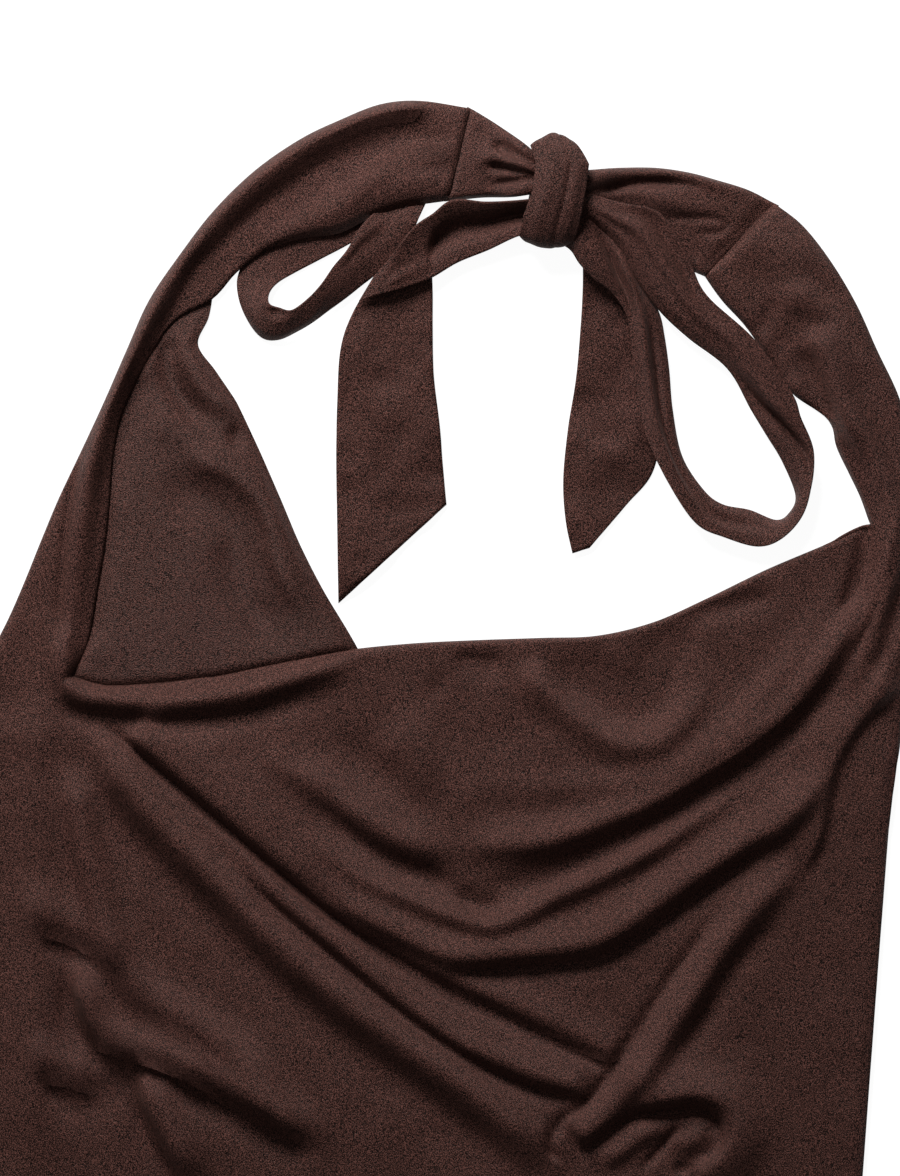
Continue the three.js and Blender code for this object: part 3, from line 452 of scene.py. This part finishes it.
facing = {
    # from its tip down: margin under the strap, free edge
    "edges": [
        ((-108, 236.5), (-98.5, 239.5)),
        ((-111.5, 226.5), (-97.5, 228.5)),
        ((-122, 212), (-99.5, 213)),
        ((-131, 200), (-104.5, 200.5)),
        ((-137, 188), (-96.5, 188.5)),
        ((-143, 175), (-87.5, 175)),
        ((-149, 155), (-78, 155)),
        ((-155, 132), (-68, 132)),
        ((-158, 112), (-59.5, 112)),
        ((-161, 92.5), (-49.5, 92.5)),
        ((-164, 72.5), (-37.5, 72.5)),
        ((-165, 53), (-26.5, 53)),
        ((-165, 25.5), (-13, 25.5)),
    ],
    "rowsEach": 12, "across": 80,
    "base": 3.4,
    "underNeck": (-3, 6),       # it rises from this far outside the neck edge, over this width
    "underRim": (-1, 6, 0.2),   # the same from its own free edge, and the share it has there
    "tip": (213, 24, 0.15),     # above this it lies low, over this length, down to this share
    "settle": 0.3,
    "noise": (0.3, 13, 7),      # height, size, seed
    "flat": (0.15, 0.22), "area": 0.0175,
    # columns as in the front's folds
    "folds": [
        ("tip ridge", 2.4, 6, 5, 0.1, 0.25,
         [(-107, 216), (-108.5, 204), (-107.5, 192), (-101, 180), (-92, 172.5), (-83, 168)]),
        ("tip hollow", -3, 6, 5, 0.15, 0.3,
         [(-117, 206), (-118, 192), (-114, 180), (-106, 170.5), (-96, 165.5)]),
        ("roll shade", -3.2, 8, 5, 0.1, 0.1,
         [(-128, 192), (-139, 168), (-146, 140), (-150, 112), (-153, 88), (-158, 66)]),
        ("spot", -2.2, 4, 4, 0.4, 0.4, [(-90, 166), (-87.5, 160), (-86, 153)]),
        ("upper light", 1.2, 8, 7, 0.35, 0.35, [(-128, 168), (-112, 160), (-98, 156)]),
        ("rim", 3.2, 10, 5, 0.15, 0.3,
         [(-112, 155), (-99, 148), (-86, 141), (-76, 130), (-71, 118), (-69, 105), (-62, 90),
          (-50, 75)]),
        ("broad hollow", -3, 8, 9, 0.2, 0.25,
         [(-121, 147), (-110, 137), (-97, 128), (-89, 118), (-87, 104), (-82, 88), (-72, 75),
          (-60, 66)]),
    ],
}

ties = {
    "rowsEach": 10, "across": 26,
    "tuck": 2.0, "tuckFrom": 4,         # tucked this far under the seam, along this row's line
    "tuckDrop": [1.3, 1.1, 0.5],        # how much lower its first rows lie
    "leftFlat": (0.043, 0.036), "rightFlat": (0.033, 0.082),
}

back = {
    "top": [26.5, 12, 4.5, 25, 70.5],   # height of its top edge from left to right
    "hem": -303, "rows": 60, "across": 70,
    "flat": (0.43, 0.375), "area": 0.135,
}

knot = {
    "x": 54, "y": 268, "z": 10,
    "gatherFull": 13,       # the ties are level with the knot's hole this near its middle
    "gatherStart": 30,      # and begin to rise this far from it
    "gatherBow": 0.6,       # share of their shape that they keep inside
    "gatherLevel": 60,      # cloth further than this above or below doesn't rise
}

# the left loop's end under the strap: its two edges
hiddenStretch = [
    ((-71, 234), (-84, 235)), ((-63, 241), (-76, 248)), ((-46, 250), (-53, 262)),
    ((-26.5, 260.5), (-31, 273.5)), ((-6.5, 267), (-9, 279.5)), ((11, 270), (11, 281.5)),
    ((28.5, 272), (28.5, 279)),
]


def edgeOf(rows, k):
    return [row[k] for row in rows]


def ringOf(rows, a, b):
    return edgeOf(rows, a) + edgeOf(rows, b)[::-1]


leftSide = [(ends[0], heights[0]) for name, rows, ends, heights in front["lines"]]
rightSide = [(ends[1], heights[-1]) for name, rows, ends, heights in front["lines"]]
# the neck edge between the left strap and the right one
neckEnds, neckHeights = front["lines"][0][2:]
neckEdge = [(neckEnds[0] + share * (neckEnds[1] - neckEnds[0]), height)
            for share, height in zip(front["stations"], neckHeights)][3:-2]
freeEdges = [
    edgeOf(front["leftTie"], 0)[::-1] + edgeOf(front["leftStrap"], 0) + leftSide + rightSide[::-1]
    + edgeOf(front["rightStrap"], 1)[::-1] + edgeOf(front["rightTie"], 0),
    edgeOf(front["leftTie"], 1)[::-1] + edgeOf(front["leftStrap"], 2) + neckEdge
    + edgeOf(front["rightStrap"], 0)[::-1] + edgeOf(front["rightTie"], 1),
]
freeEdges = [evenLine(edge, 4.0) for edge in freeEdges]
# the back's top runs between the sides where the third swag starts and its foot ends
backFrom, backTo, backSteps = leftSide[3][0], rightSide[4][0], len(back["top"]) - 1
backOutline = [(backFrom + (backTo - backFrom) * i / backSteps, height)
               for i, height in enumerate(back["top"])]
backOutline += [(rightSide[-1][0], back["hem"]), (leftSide[-1][0], back["hem"])]
layersBelow = [backOutline, ringOf(facing["edges"], 0, 1), ringOf(hiddenStretch, 0, 1)]


def lowest(x, y):
    bare = np.ones(x.shape)
    for outline in layersBelow:
        apart = nearest(outline + outline[:1], x, y)[0]
        apart = np.where(inside(outline, x, y), 0, apart)
        bare *= ease((apart - cloth["drapeFrom"]) / (cloth["drapeReach"] - cloth["drapeFrom"]))
    return cloth["stacked"] + (cloth["low"] - cloth["stacked"]) * bare


def draped(flat):
    x, y = flat[..., 0].ravel(), flat[..., 1].ravel()
    outer, neck = [nearest(edge, x, y)[0] for edge in freeEdges]
    crisp = ease((x - cloth["crispFrom"]) / cloth["crispOver"])
    wide = front["softRoll"]
    soft = ease((y - wide["above"]) / wide["over"]) * ease((wide["leftOf"] - x) / wide["over"])
    neckRoll = cloth["edgeRoll"] * (1 - crisp) + cloth["crispRoll"] * crisp + wide["more"] * soft
    inward = np.clip(np.minimum(outer / cloth["edgeRoll"], neck / neckRoll), 0, 1)
    roll = np.sqrt(1 - (1 - inward) ** 2)
    height = foldsAt(front["folds"], x, y) + cloth["loft"]
    for amount, size, seed in front["noise"]:
        height = height + amount * softNoise(x, y, size, seed)
    height = (height + np.hypot(height, cloth["settle"])) / 2
    z = lowest(x, y) + height * roll
    past = abs(x - knot["x"]) - knot["gatherFull"]
    gathered = 1 - ease(past / (knot["gatherStart"] - knot["gatherFull"]))
    gathered = np.where(abs(y - knot["y"]) < knot["gatherLevel"], gathered, 0)
    inKnot = knot["z"] + (z - cloth["low"] - cloth["loft"]) * knot["gatherBow"]
    z = z + (inKnot - z) * gathered
    return np.stack([x, y, z], axis=1).reshape(flat.shape[:2] + (3,))


def between(rails, sections, rowsEach, parts):
    place = np.linspace(0, sections - 1, (sections - 1) * rowsEach + 1)
    on = [rail(place) for rail in rails]
    columns = [on[0][:, None]]
    for i, count in enumerate(parts):
        share = (np.arange(1, count + 1) / count)[None, :, None]
        columns.append(on[i][:, None] * (1 - share) + on[i + 1][:, None] * share)
    return np.concatenate(columns, axis=1)


def bodyPatch():
    stations, parts = front["stations"], front["columns"]
    column = np.concatenate([[0]] + [i + np.arange(1, n + 1) / n for i, n in enumerate(parts)])
    share = np.interp(column, range(len(stations)), stations)
    lines = []
    for name, rows, ends, heights in front["lines"]:
        y = smoothRail([(i, h) for i, h in enumerate(heights)])(column)[:, 1]
        lines.append(np.stack([ends[0] + share * (ends[1] - ends[0]), y], axis=1))
    patch = []
    for i, (name, rows, ends, heights) in enumerate(front["lines"][:-1]):
        for r in range(rows):
            patch.append(lines[i] + (lines[i + 1] - lines[i]) * r / rows)
    patch.append(lines[-1])
    return np.array(patch)


def sheetObject(name, patches, thickness=cloth["thickness"]):
    mesh = bmesh.new()
    for rows in patches:
        points = [[mesh.verts.new(Vector(p) * mm) for p in row] for row in rows]
        for upper, lower in zip(points, points[1:]):
            for a, b, c, d in zip(upper, upper[1:], lower[1:], lower):
                mesh.faces.new((a, d, c, b))
    bmesh.ops.remove_doubles(mesh, verts=mesh.verts, dist=2e-5)
    mesh.normal_update()
    for face in mesh.faces:
        face.smooth = True
    data = bpy.data.meshes.new(name)
    mesh.to_mesh(data)
    mesh.free()
    piece = bpy.data.objects.new(name, data)
    bpy.context.scene.collection.objects.link(piece)
    wall = piece.modifiers.new("wall", "SOLIDIFY")
    wall.thickness = thickness * mm
    wall.offset = 0
    return piece


def finish(piece, material, node):
    piece.data.materials.append(material)
    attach(piece, "root")
    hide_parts(node)
    print("made", piece.name, len(piece.data.polygons), "faces")
    return piece


def makeFront(material):
    body = draped(bodyPatch())
    toCrest, toInner = sum(front["columns"][:2]), front["columns"][2]
    rails = [smoothRail(edgeOf(front["leftStrap"], k)) for k in range(3)]
    left = draped(between(rails, len(front["leftStrap"]), front["rowsEach"]["leftStrap"],
                          [toCrest, toInner]))
    left[-1] = body[0, :toCrest + toInner + 1]
    across = sum(front["columns"][-2:])
    rails = [smoothRail(edgeOf(front["rightStrap"], k)) for k in range(2)]
    right = draped(between(rails, len(front["rightStrap"]), front["rowsEach"]["rightStrap"],
                           [across]))
    right[-1] = body[0, -across - 1:]
    piece = sheetObject("front_cloth", [body, left, right])
    return finish(piece, material, "front")


def makeTie(name, node, edges, material):
    rails = [smoothRail(edgeOf(edges, k)) for k in range(2)]
    flatRows = between(rails, len(edges), ties["rowsEach"], [ties["across"]])
    tuck = flatRows[0] - flatRows[ties["tuckFrom"]]
    tuck *= ties["tuck"] / np.linalg.norm(tuck, axis=1).mean()
    rows = draped(np.concatenate([flatRows[:1] + tuck, flatRows[:1] + tuck / 2, flatRows]))
    rows[:3, :, 2] -= np.array(ties["tuckDrop"])[:, None]
    piece = sheetObject(name, [rows])
    return finish(piece, material, node)


def makeFacing(material):
    rails = [smoothRail(edgeOf(facing["edges"], k)) for k in range(2)]
    flat = between(rails, len(facing["edges"]), facing["rowsEach"], [facing["across"]])
    x, y = flat[..., 0], flat[..., 1]
    neck = [tuple(point) for point in freeEdges[1]]
    opening = nearest(neck, x, y)[0] * np.where(inside(neck, x, y), 1, -1)
    rim = nearest(edgeOf(facing["edges"], 1), x, y)[0]
    neckFrom, neckOver = facing["underNeck"]
    rimFrom, rimOver, rimShare = facing["underRim"]
    tipFrom, tipOver, tipShare = facing["tip"]
    free = ease((opening - neckFrom) / neckOver)
    free = free * (rimShare + (1 - rimShare) * ease((rim - rimFrom) / rimOver))
    free = free * (tipShare + (1 - tipShare) * ease((tipFrom - y) / tipOver))
    amount, size, seed = facing["noise"]
    height = foldsAt(facing["folds"], x, y) + facing["base"] + amount * softNoise(x, y, size, seed)
    height = height * free
    height = (height + np.hypot(height, facing["settle"])) / 2
    rows = np.stack([x, y, cloth["low"] + height], axis=2)
    piece = sheetObject("facing_cloth", [rows])
    return finish(piece, material, "facing")


def sideAt(side, y):
    heights = [p[1] for p in side][::-1]
    return np.interp(y, heights, [p[0] for p in side][::-1])


def makeBack(material):
    down = np.linspace(0, 1, back["rows"] + 1)[:, None]
    share = np.linspace(0, 1, back["across"] + 1)[None, :]
    yLeft = back["top"][0] + (back["hem"] - back["top"][0]) * down
    yRight = back["top"][-1] + (back["hem"] - back["top"][-1]) * down
    x = sideAt(leftSide, yLeft) * (1 - share) + sideAt(rightSide, yRight) * share
    edge = smoothRail(list(enumerate(back["top"])))(share[0] * backSteps)[:, 1][None, :]
    y = edge * (1 - down) + back["hem"] * down
    rows = np.stack([x, y, np.full(x.shape, cloth["low"])], axis=2)
    piece = sheetObject("back_cloth", [rows])
    return finish(piece, material, "back")


# the bow

bow = {
    # each stretch from section to section: its two edges, in x, y and z
    "loopLeft": [
        ((-3.5, 264, 1), (-9.5, 250.5, 2.4)),
        ((-12, 265.5, 1), (-15, 244.5, 2.6)),
        ((-21.5, 262, 1.6), (-20, 238, 2.6)),
        ((-29, 256.5, 4), (-26, 231.5, 2.4)),
        ((-34, 250.5, 6), (-33, 226, 2.2)),
        ((-38.5, 242.5, 6.5), (-40, 220.5, 2.2)),
        ((-44.5, 235, 7), (-47, 215.5, 2)),
        ((-50, 227, 7.5), (-54, 210.5, 2)),
        ((-56, 220.5, 8), (-61, 206.5, 1.6)),
        ((-63, 215.5, 8.5), (-69, 203, 1.2)),
        ((-69, 216, 9), (-76, 203.8, 1)),
        ((-73, 218.5, 8), (-82, 211, 1)),
        ((-73, 223, 5), (-86.5, 221.5, 0.9)),
        ((-69.5, 227.5, 2), (-86.5, 232, 0.7)),
        ((-62, 232, 0.8), (-79, 245.5, 0.6)),
        ((-50, 238.3, 0.6), (-64, 254.5, 0.6)),
        ((-35, 246.5, 0.6), (-46, 262, 0.6)),
        ((-24, 256, 0.6), (-30, 268, 0.6)),
        ((-10, 264, 0.6), (-13, 275.5, 0.6)),
        ((8, 268.5, 0.6), (8, 280, 0.6)),
        ((28.5, 272, 0.6), (28.5, 279, 0.6)),
    ],
    "loopRight": [
        ((62, 268.5, 10.5), (62, 257, 10)),
        ((70, 266, 10), (68, 255.5, 9)),
        ((82.5, 262.5, 9), (75, 249.5, 7.5)),
        ((97, 259.5, 8.7), (83, 238.5, 7)),
        ((106, 248.5, 8.6), (91, 225.5, 6.6)),
        ((112.5, 235.5, 8.5), (100, 214, 6.2)),
        ((119.5, 222, 8.5), (112, 203, 6)),
        ((141, 202, 8.5), (128.5, 190, 6)),
        ((157, 179, 8.5), (139, 172, 5)),
        ((161, 168, 9), (146, 160.5, 5)),
        ((166.5, 154, 9.5), (153, 149, 4)),
        ((165.5, 138.5, 9.5), (159, 134, 3)),
        ((161.5, 125, 9), (156, 126, 2)),
        ((152.5, 115, 8), (150, 123, 1.5)),
        ((142, 111.5, 7), (138.5, 127.5, 1.2)),
        ((127.5, 115.5, 7), (126.5, 130, 1.2)),
        ((115, 121.5, 7), (118, 136.5, 1.2)),
        ((103.5, 138, 7), (108.5, 151.5, 1.5)),
        ((93.5, 158.5, 6), (104.5, 171.5, 2.8)),
        ((89.5, 176, 5.5), (103, 189, 2.8)),
        ((86.8, 197, 6.4), (101, 203.5, 3)),
        ((84.5, 212.5, 7.2), (98.5, 214.5, 3.4)),
        ((78, 223, 8.2), (92, 227, 4)),
        ((69.5, 229.5, 9), (84.5, 241, 4.8)),
        ((63.5, 236, 9.2), (75.5, 251.5, 6.4)),
        ((59, 242.5, 9), (67, 259.5, 8)),
        ((50, 247, 8), (57, 262, 8)),
    ],
    "tailLeft": [
        ((-27, 229, 3.2), (-1.5, 236.5, 3.4)),
        ((-36, 215, 1.2), (-1, 223.5, 1.4)),
        ((-41.5, 199, 0.6), (-1, 207, 0.6)),
        ((-43, 176, 0.6), (-0.5, 186.5, 0.6)),
        ((-43.5, 149.5, 0.6), (2, 165.5, 0.6)),
        ((-43, 119, 0.6), (3.5, 147, 0.6)),
        ((-42.5, 86.5, 0.6), (5, 130, 0.6)),
    ],
    "tailRight": [
        ((64.5, 251.5, 9.1), (69, 244, 8.5)),
        ((65, 238.5, 6), (78, 232.5, 5)),
        ((65, 224.5, 2.2), (88.5, 222, 1.6)),
        ((64, 207, 0.7), (97, 204.5, 0.6)),
        ((62, 185, 0.6), (100.5, 181.5, 0.6)),
        ((58.5, 163, 0.6), (100, 163, 0.6)),
        ((56.5, 141, 0.6), (95.5, 143.5, 0.6)),
        ((57.5, 123, 0.6), (84, 129.5, 0.6)),
        ((60.5, 108.5, 0.6), (68, 111, 0.6)),
    ],
    "loopLeftNear": [
        ((44, 264.5, 10.5), (44, 248.5, 9.5)),
        ((35, 263.5, 11), (36.5, 248, 7.5)),
        ((22, 263, 10.5), (23.5, 242, 5.5)),
        ((8, 264, 10), (10, 236.5, 5)),
        ((-1, 257.8, 9.5), (-1, 230, 5.6)),
        ((-9, 252.3, 9), (-10, 226.5, 6)),
        ((-16, 243.5, 8.6), (-20, 223.5, 6.2)),
        ((-21.5, 236.5, 7), (-28, 221.5, 5.4)),
        ((-26.5, 231, 5.6), (-33.5, 219.5, 4.2)),
    ],
    # creases of each stretch: share across at its start and end, share along from and to, rise,
    # half width in shares
    "creases": {
        "loopLeftNear": [(0.45, 0.55, 0, 0.55, -4.6, 0.2), (0.78, 0.75, 0.1, 0.8, 0.8, 0.12)],
        "loopLeft": [(0.3, 0.04, 0.08, 0.3, 1.0, 0.12), (0.45, 0.2, 0.08, 0.3, -0.6, 0.18),
                     (0.05, 0.2, 0.44, 0.56, -2.4, 0.2), (0.8, 0.8, 0.3, 0.62, 0.8, 0.2)],
        "loopRight": [(0.22, 0.16, 0.06, 0.27, -3.6, 0.15), (0.48, 0.42, 0.02, 0.3, 1.8, 0.12),
                      (0.8, 0.8, 0, 0.27, 1.0, 0.14), (1.0, 0.05, 0.26, 0.43, -4.6, 0.11),
                      (0.8, 0.0, 0.24, 0.39, 2.4, 0.12), (0.55, 0.55, 0.5, 0.64, -2.4, 0.17),
                      (0.36, 0.36, 0.6, 0.86, 1.8, 0.13), (0.62, 0.62, 0.6, 0.84, -1.6, 0.14),
                      (0.3, 0.3, 0.82, 1.1, 1.6, 0.2), (0.1, 0.9, 0.79, 0.95, -4.4, 0.11),
                      (0.36, 1.1, 0.79, 0.95, 1.8, 0.12)],
    },
    "creaseFade": 0.08,     # share of a stretch over which a crease fades in or out
    # how far each stretch's middle bows out: at its start, then changes, each with the share
    # along where it begins and over how much
    "arches": {
        "tailLeft": (0, [(1.0, 0.1, 0.4)]),
        "tailRight": (0, [(0.6, 0.3, 0.3)]),
        "loopLeftNear": (-2.2, [(2.2, 0.45, 0.4)]),
        "loopLeft": (1.4, [(-1.4, 0.5, 0.15)]),
        "loopRight": (2.6, [(-1.1, 0.2, 0.2), (1.0, 0.7, 0.2)]),
    },
    # soft waves of the tails: size, seed and share of each, lift, where along they begin
    "waves": {"noise": [(17, 11, 1.0), (8, 12, 0.5)], "lift": 0.6, "from": 0.1, "over": 0.3},
    "rowsEach": 8, "across": 24,
    # piece, its node, its stretches, wave height, flat size, held, area
    "tails": [
        ("tail_left_cloth", "tail_left", ["tailLeft"], 1.6, (0.048, 0.16), "laid", 0.0062),
        ("tail_right_cloth", "tail_right", ["tailRight"], 1.4, (0.045, 0.15), "laid", 0.0043),
    ],
    "loops": [
        ("loop_left_cloth", "loop_left", ["loopLeftNear", "loopLeft"], 0, (0.018, 0.30), "folded",
         None),
        ("loop_right_cloth", "loop_right", ["loopRight"], 0, (0.018, 0.36), "folded", None),
    ],
}


def pushedOut(rows, amount):
    along = np.gradient(rows, axis=0)
    across = np.gradient(rows, axis=1)
    normal = np.cross(across, along)
    normal *= np.sign(normal[..., 2:]) + (normal[..., 2:] == 0)
    normal /= np.linalg.norm(normal, axis=2, keepdims=True) + 1e-9
    return rows + normal * amount[..., None]


def ribbonRows(stretch, waveHeight):
    edges = bow[stretch]
    rails = [smoothRail(edgeOf(edges, k)) for k in range(2)]
    rows = between(rails, len(edges), bow["rowsEach"], [bow["across"]])
    place = np.linspace(0, 1, rows.shape[0])[:, None]
    share = np.linspace(0, 1, bow["across"] + 1)[None, :]
    arch, changes = bow["arches"][stretch]
    for change, begin, over in changes:
        arch = arch + change * ease((place - begin) / over)
    rise = arch * np.sin(np.pi * share)
    fade = bow["creaseFade"]
    for first, last, start, stop, height, half in bow["creases"].get(stretch, []):
        centre = first + (last - first) * (place - start) / (stop - start)
        lane = np.exp(-((share - centre) / half) ** 2)
        rise = rise + height * lane * ease((place - start) / fade) * ease((stop - place) / fade)
    if waveHeight:
        waves = bow["waves"]
        wave = sum(part * softNoise(rows[..., 0], rows[..., 1], size, seed)
                   for size, seed, part in waves["noise"])
        reached = ease((place - waves["from"]) / waves["over"])
        rise = rise + waveHeight * (wave + waves["lift"]) * reached
    return pushedOut(rows, rise)


def makeRibbon(row, material):
    name, node, stretches, waveHeight, flat, held, area = row
    piece = sheetObject(name, [ribbonRows(stretch, waveHeight) for stretch in stretches])
    return finish(piece, material, node)


knotShape = {
    # its two rims in x at each turn round the ties, in degrees from the top over the upper side
    "rims": [(0, 48.5, 56.5), (30, 42, 62.5), (60, 44.5, 67.5), (90, 43, 66), (120, 39, 64),
             (150, 37, 62), (180, 42, 60), (225, 38.5, 60.5), (270, 42, 64), (315, 42, 64),
             (360, 48.5, 56.5)],
    "half": (24.8, 9.2), "edgeDrop": 2.4, "around": 120, "across": 36, "thickness": 1.4,
    # pleats: share across at turn 0 and at turn 180, rise, half width in shares
    "pleats": [(0.34, 0.24, 0.5, 0.12), (0.68, 0.60, -0.8, 0.06), (0.84, 0.80, 0.5, 0.07)],
    "pleatReach": 0.4,      # how far they run on round the sides
    "flat": (0.026, 0.11),
}


def makeKnot(material):
    turn = np.linspace(0, 360, knotShape["around"] + 1)[:, None]
    turn[-1] = 0
    share = np.linspace(0, 1, knotShape["across"] + 1)[None, :]
    turns = edgeOf(knotShape["rims"], 0)
    left, right = [np.interp(turn, turns, edgeOf(knotShape["rims"], k)) for k in (1, 2)]
    angle = np.radians(turn)
    shown = np.clip(np.sin(angle) + knotShape["pleatReach"], 0, 1)
    drop = knotShape["edgeDrop"] * (1 - np.sin(np.pi * share))
    for start, end, rise, half in knotShape["pleats"]:
        centre = start + (end - start) * (1 - np.cos(angle)) / 2
        drop = drop - rise * np.exp(-((share - centre) / half) ** 2) * shown
    x = left + (right - left) * share
    y = knot["y"] + (knotShape["half"][0] - drop) * np.cos(angle)
    z = knot["z"] + (knotShape["half"][1] - drop) * np.sin(angle)
    rows = np.stack([x, y, z], axis=2)
    piece = sheetObject("knot_cloth", [rows], thickness=knotShape["thickness"])
    return finish(piece, material, "knot")


# shading

class Wire:
    def __init__(self, tree, socket):
        self.tree = tree
        self.socket = socket

    def calc(self, operation, first, second):
        return addNode(self.tree, "ShaderNodeMath", {"operation": operation},
                       {0: first, 1: second}, "Value")

    def __add__(self, other):
        return self.calc("ADD", self, other)

    def __sub__(self, other):
        return self.calc("SUBTRACT", self, other)

    def __rsub__(self, other):
        return self.calc("SUBTRACT", other, self)

    def __mul__(self, other):
        return self.calc("MULTIPLY", self, other)

    def __pow__(self, other):
        return self.calc("POWER", self, other)

    def held(self, low, high):
        return self.calc("MAXIMUM", self.calc("MINIMUM", self, high), low)

    __radd__ = __add__
    __rmul__ = __mul__


def addNode(tree, kind, settings, inputs, output):
    node = tree.nodes.new(kind)
    for key, value in settings.items():
        setattr(node, key, value)
    for key, value in inputs.items():
        if isinstance(value, Wire):
            tree.links.new(value.socket, node.inputs[key])
        else:
            node.inputs[key].default_value = value
    return Wire(tree, node.outputs[output])


jersey = {
    "brown": (0.0245, 0.0098, 0.0078),
    "gap": 0.12,            # share of the brown's tone left between the stitches and on top of them, a painted glint: bright specks standing in for the knit catching the light
    "paintedGlint": 3.4,           # and on top of them
    "stitch": (0.00058, 0.00030),   # half a dash long, half a row high
    "middle": 0.42, "contrast": 7.5, "darken": 1.5,     # how the dashes stand out
    "wobble": 0.006, "wobbleScale": 24.0,               # rows run slightly crooked
    "patchy": 0.1, "patchScale": 45.0,
    "roughness": 0.52,
    "shine": 0.16,
    "shineTint": (0.90, 0.66, 0.60),
    "sheen": 0.04,
    "sheenRoughness": 0.45,
    "sheenTint": (0.80, 0.52, 0.44),
    "bump": 0.5,
    "bumpDepth": 0.00012,
}

# how the rows of stitches lie, in degrees, and a tone on that copy of the jersey: painted shade,
# darker for the facing, the ties and loops, and the knot
lies = {"upright": (90, 1.0), "level": (0, 0.88), "slanted": (40, 0.95), "knot": (70, 0.85)}


def jerseyMaterial(lie):
    name, (turn, tone) = "jersey_" + lie, lies[lie]
    material = bpy.data.materials.new(name)
    material.use_nodes = True
    tree = material.node_tree
    shader = tree.nodes["Principled BSDF"]
    place = addNode(tree, "ShaderNodeTexCoord", {}, {}, "Object")
    turned = addNode(tree, "ShaderNodeMapping", {},
                     {"Vector": place, "Rotation": (0, 0, math.radians(turn))}, "Vector")
    wobble = addNode(tree, "ShaderNodeTexNoise", {},
                     {"Vector": turned, "Scale": jersey["wobbleScale"], "Detail": 2.0}, "Color")
    bent = addNode(tree, "ShaderNodeVectorMath", {"operation": "MULTIPLY_ADD"},
                   {0: wobble, 1: (jersey["wobble"],) * 3, 2: turned}, "Vector")
    dash, course = jersey["stitch"]
    counted = addNode(tree, "ShaderNodeMapping", {},
                      {"Vector": bent, "Scale": (1 / dash, 1 / course, 1 / course)}, "Vector")
    dashes = addNode(tree, "ShaderNodeTexNoise", {},
                     {"Vector": counted, "Scale": 1.0, "Detail": 0.0}, "Fac")
    patches = addNode(tree, "ShaderNodeTexNoise", {},
                      {"Vector": place, "Scale": jersey["patchScale"], "Detail": 3.0}, "Fac")
    # the stitch level sets the bump and the grain's colour, whose bright end is a painted glint
    stitch = jersey["middle"] + jersey["contrast"] * (dashes - 0.5)
    level = (stitch + jersey["patchy"] * (patches - 0.5)).held(0.0, 1.0)
    # the lie's tone scales both ends of the colour, painting shade on this copy of the jersey
    gap, paintedGlint = [tuple(tone * jersey[part] * c for c in jersey["brown"]) + (1,)
                  for part in ("gap", "paintedGlint")]
    # sockets 0, 6 and 7 of a colour Mix are its factor and its two colours, output 2 its result
    colour = addNode(tree, "ShaderNodeMix", {"data_type": "RGBA"},
                     {0: level ** jersey["darken"], 6: gap, 7: paintedGlint}, 2)
    bump = addNode(tree, "ShaderNodeBump", {},
                   {"Strength": jersey["bump"], "Distance": jersey["bumpDepth"], "Height": stitch},
                   "Normal")
    tree.links.new(colour.socket, shader.inputs["Base Color"])
    tree.links.new(bump.socket, shader.inputs["Normal"])
    for socket, value in {
        "Roughness": jersey["roughness"],
        "Specular IOR Level": jersey["shine"],
        "Specular Tint": jersey["shineTint"] + (1,),
        "Sheen Weight": jersey["sheen"],
        "Sheen Roughness": jersey["sheenRoughness"],
        "Sheen Tint": jersey["sheenTint"] + (1,),
    }.items():
        shader.inputs[socket].default_value = value
    return material


def makeAll():
    upright, level, slanted, knotCloth = [jerseyMaterial(lie) for lie in lies]
    makeBack(upright)
    makeFacing(level)
    makeFront(upright)
    makeTie("tie_left_cloth", "tie_left", front["leftTie"], slanted)
    makeTie("tie_right_cloth", "tie_right", front["rightTie"], slanted)
    for row in bow["tails"]:
        makeRibbon(row, upright)
    for row in bow["loops"]:
        makeRibbon(row, slanted)
    makeKnot(knotCloth)


def makeStage():
    data = bpy.data.meshes.new("floor")
    half = paper["half"]
    corners = [(-half, -half, 0), (half, -half, 0), (half, half, 0), (-half, half, 0)]
    data.from_pydata(corners, [], [(0, 1, 2, 3)])
    floor = bpy.data.objects.new("floor", data)
    floor.location.z = -paper["below"]
    bpy.context.scene.collection.objects.link(floor)
    material = bpy.data.materials.new("floor")
    material.use_nodes = True
    shader = material.node_tree.nodes["Principled BSDF"]
    shader.inputs["Base Color"].default_value = (paper["tone"],) * 3 + (1,)
    shader.inputs["Roughness"].default_value = paper["roughness"]
    shader.inputs["Specular IOR Level"].default_value = paper["shine"]
    shader.inputs["Emission Color"].default_value = (1, 1, 1, 1)
    shader.inputs["Emission Strength"].default_value = paper["glow"]
    data.materials.append(material)


def makeLight(name, facts):
    data = bpy.data.lights.new(name, "AREA")
    data.shape = "DISK"
    data.size = facts["size"] * mm
    data.energy = facts["power"]
    lamp = bpy.data.objects.new(name, data)
    lamp.location = Vector(facts["at"]) * mm
    lamp.rotation_euler = (-lamp.location).to_track_quat("-Z", "Y").to_euler()
    bpy.context.scene.collection.objects.link(lamp)


def makeView():
    data = bpy.data.cameras.new("camera")
    data.sensor_width = camera["sensor"]
    data.lens = camera["sensor"] * camera["height"] / camera["frameTall"]
    data.clip_end = camera["clipEnd"]
    eye = bpy.data.objects.new("camera", data)
    x, y, z = camera["middle"]
    eye.location = Vector((x, y, z + camera["height"])) * mm
    bpy.context.scene.collection.objects.link(eye)
    bpy.context.scene.camera = eye
    world = bpy.data.worlds.new("sky")
    world.use_nodes = True
    background = world.node_tree.nodes["Background"]
    background.inputs["Color"].default_value = (1, 1, 1, 1)
    background.inputs["Strength"].default_value = light["sky"]
    bpy.context.scene.world = world
    bpy.context.scene.view_settings.view_transform = "Standard"


makeAll()
makeStage()
makeLight("key", light["key"])
makeLight("side", light["side"])
makeView()
print("stage, lights and camera ready")
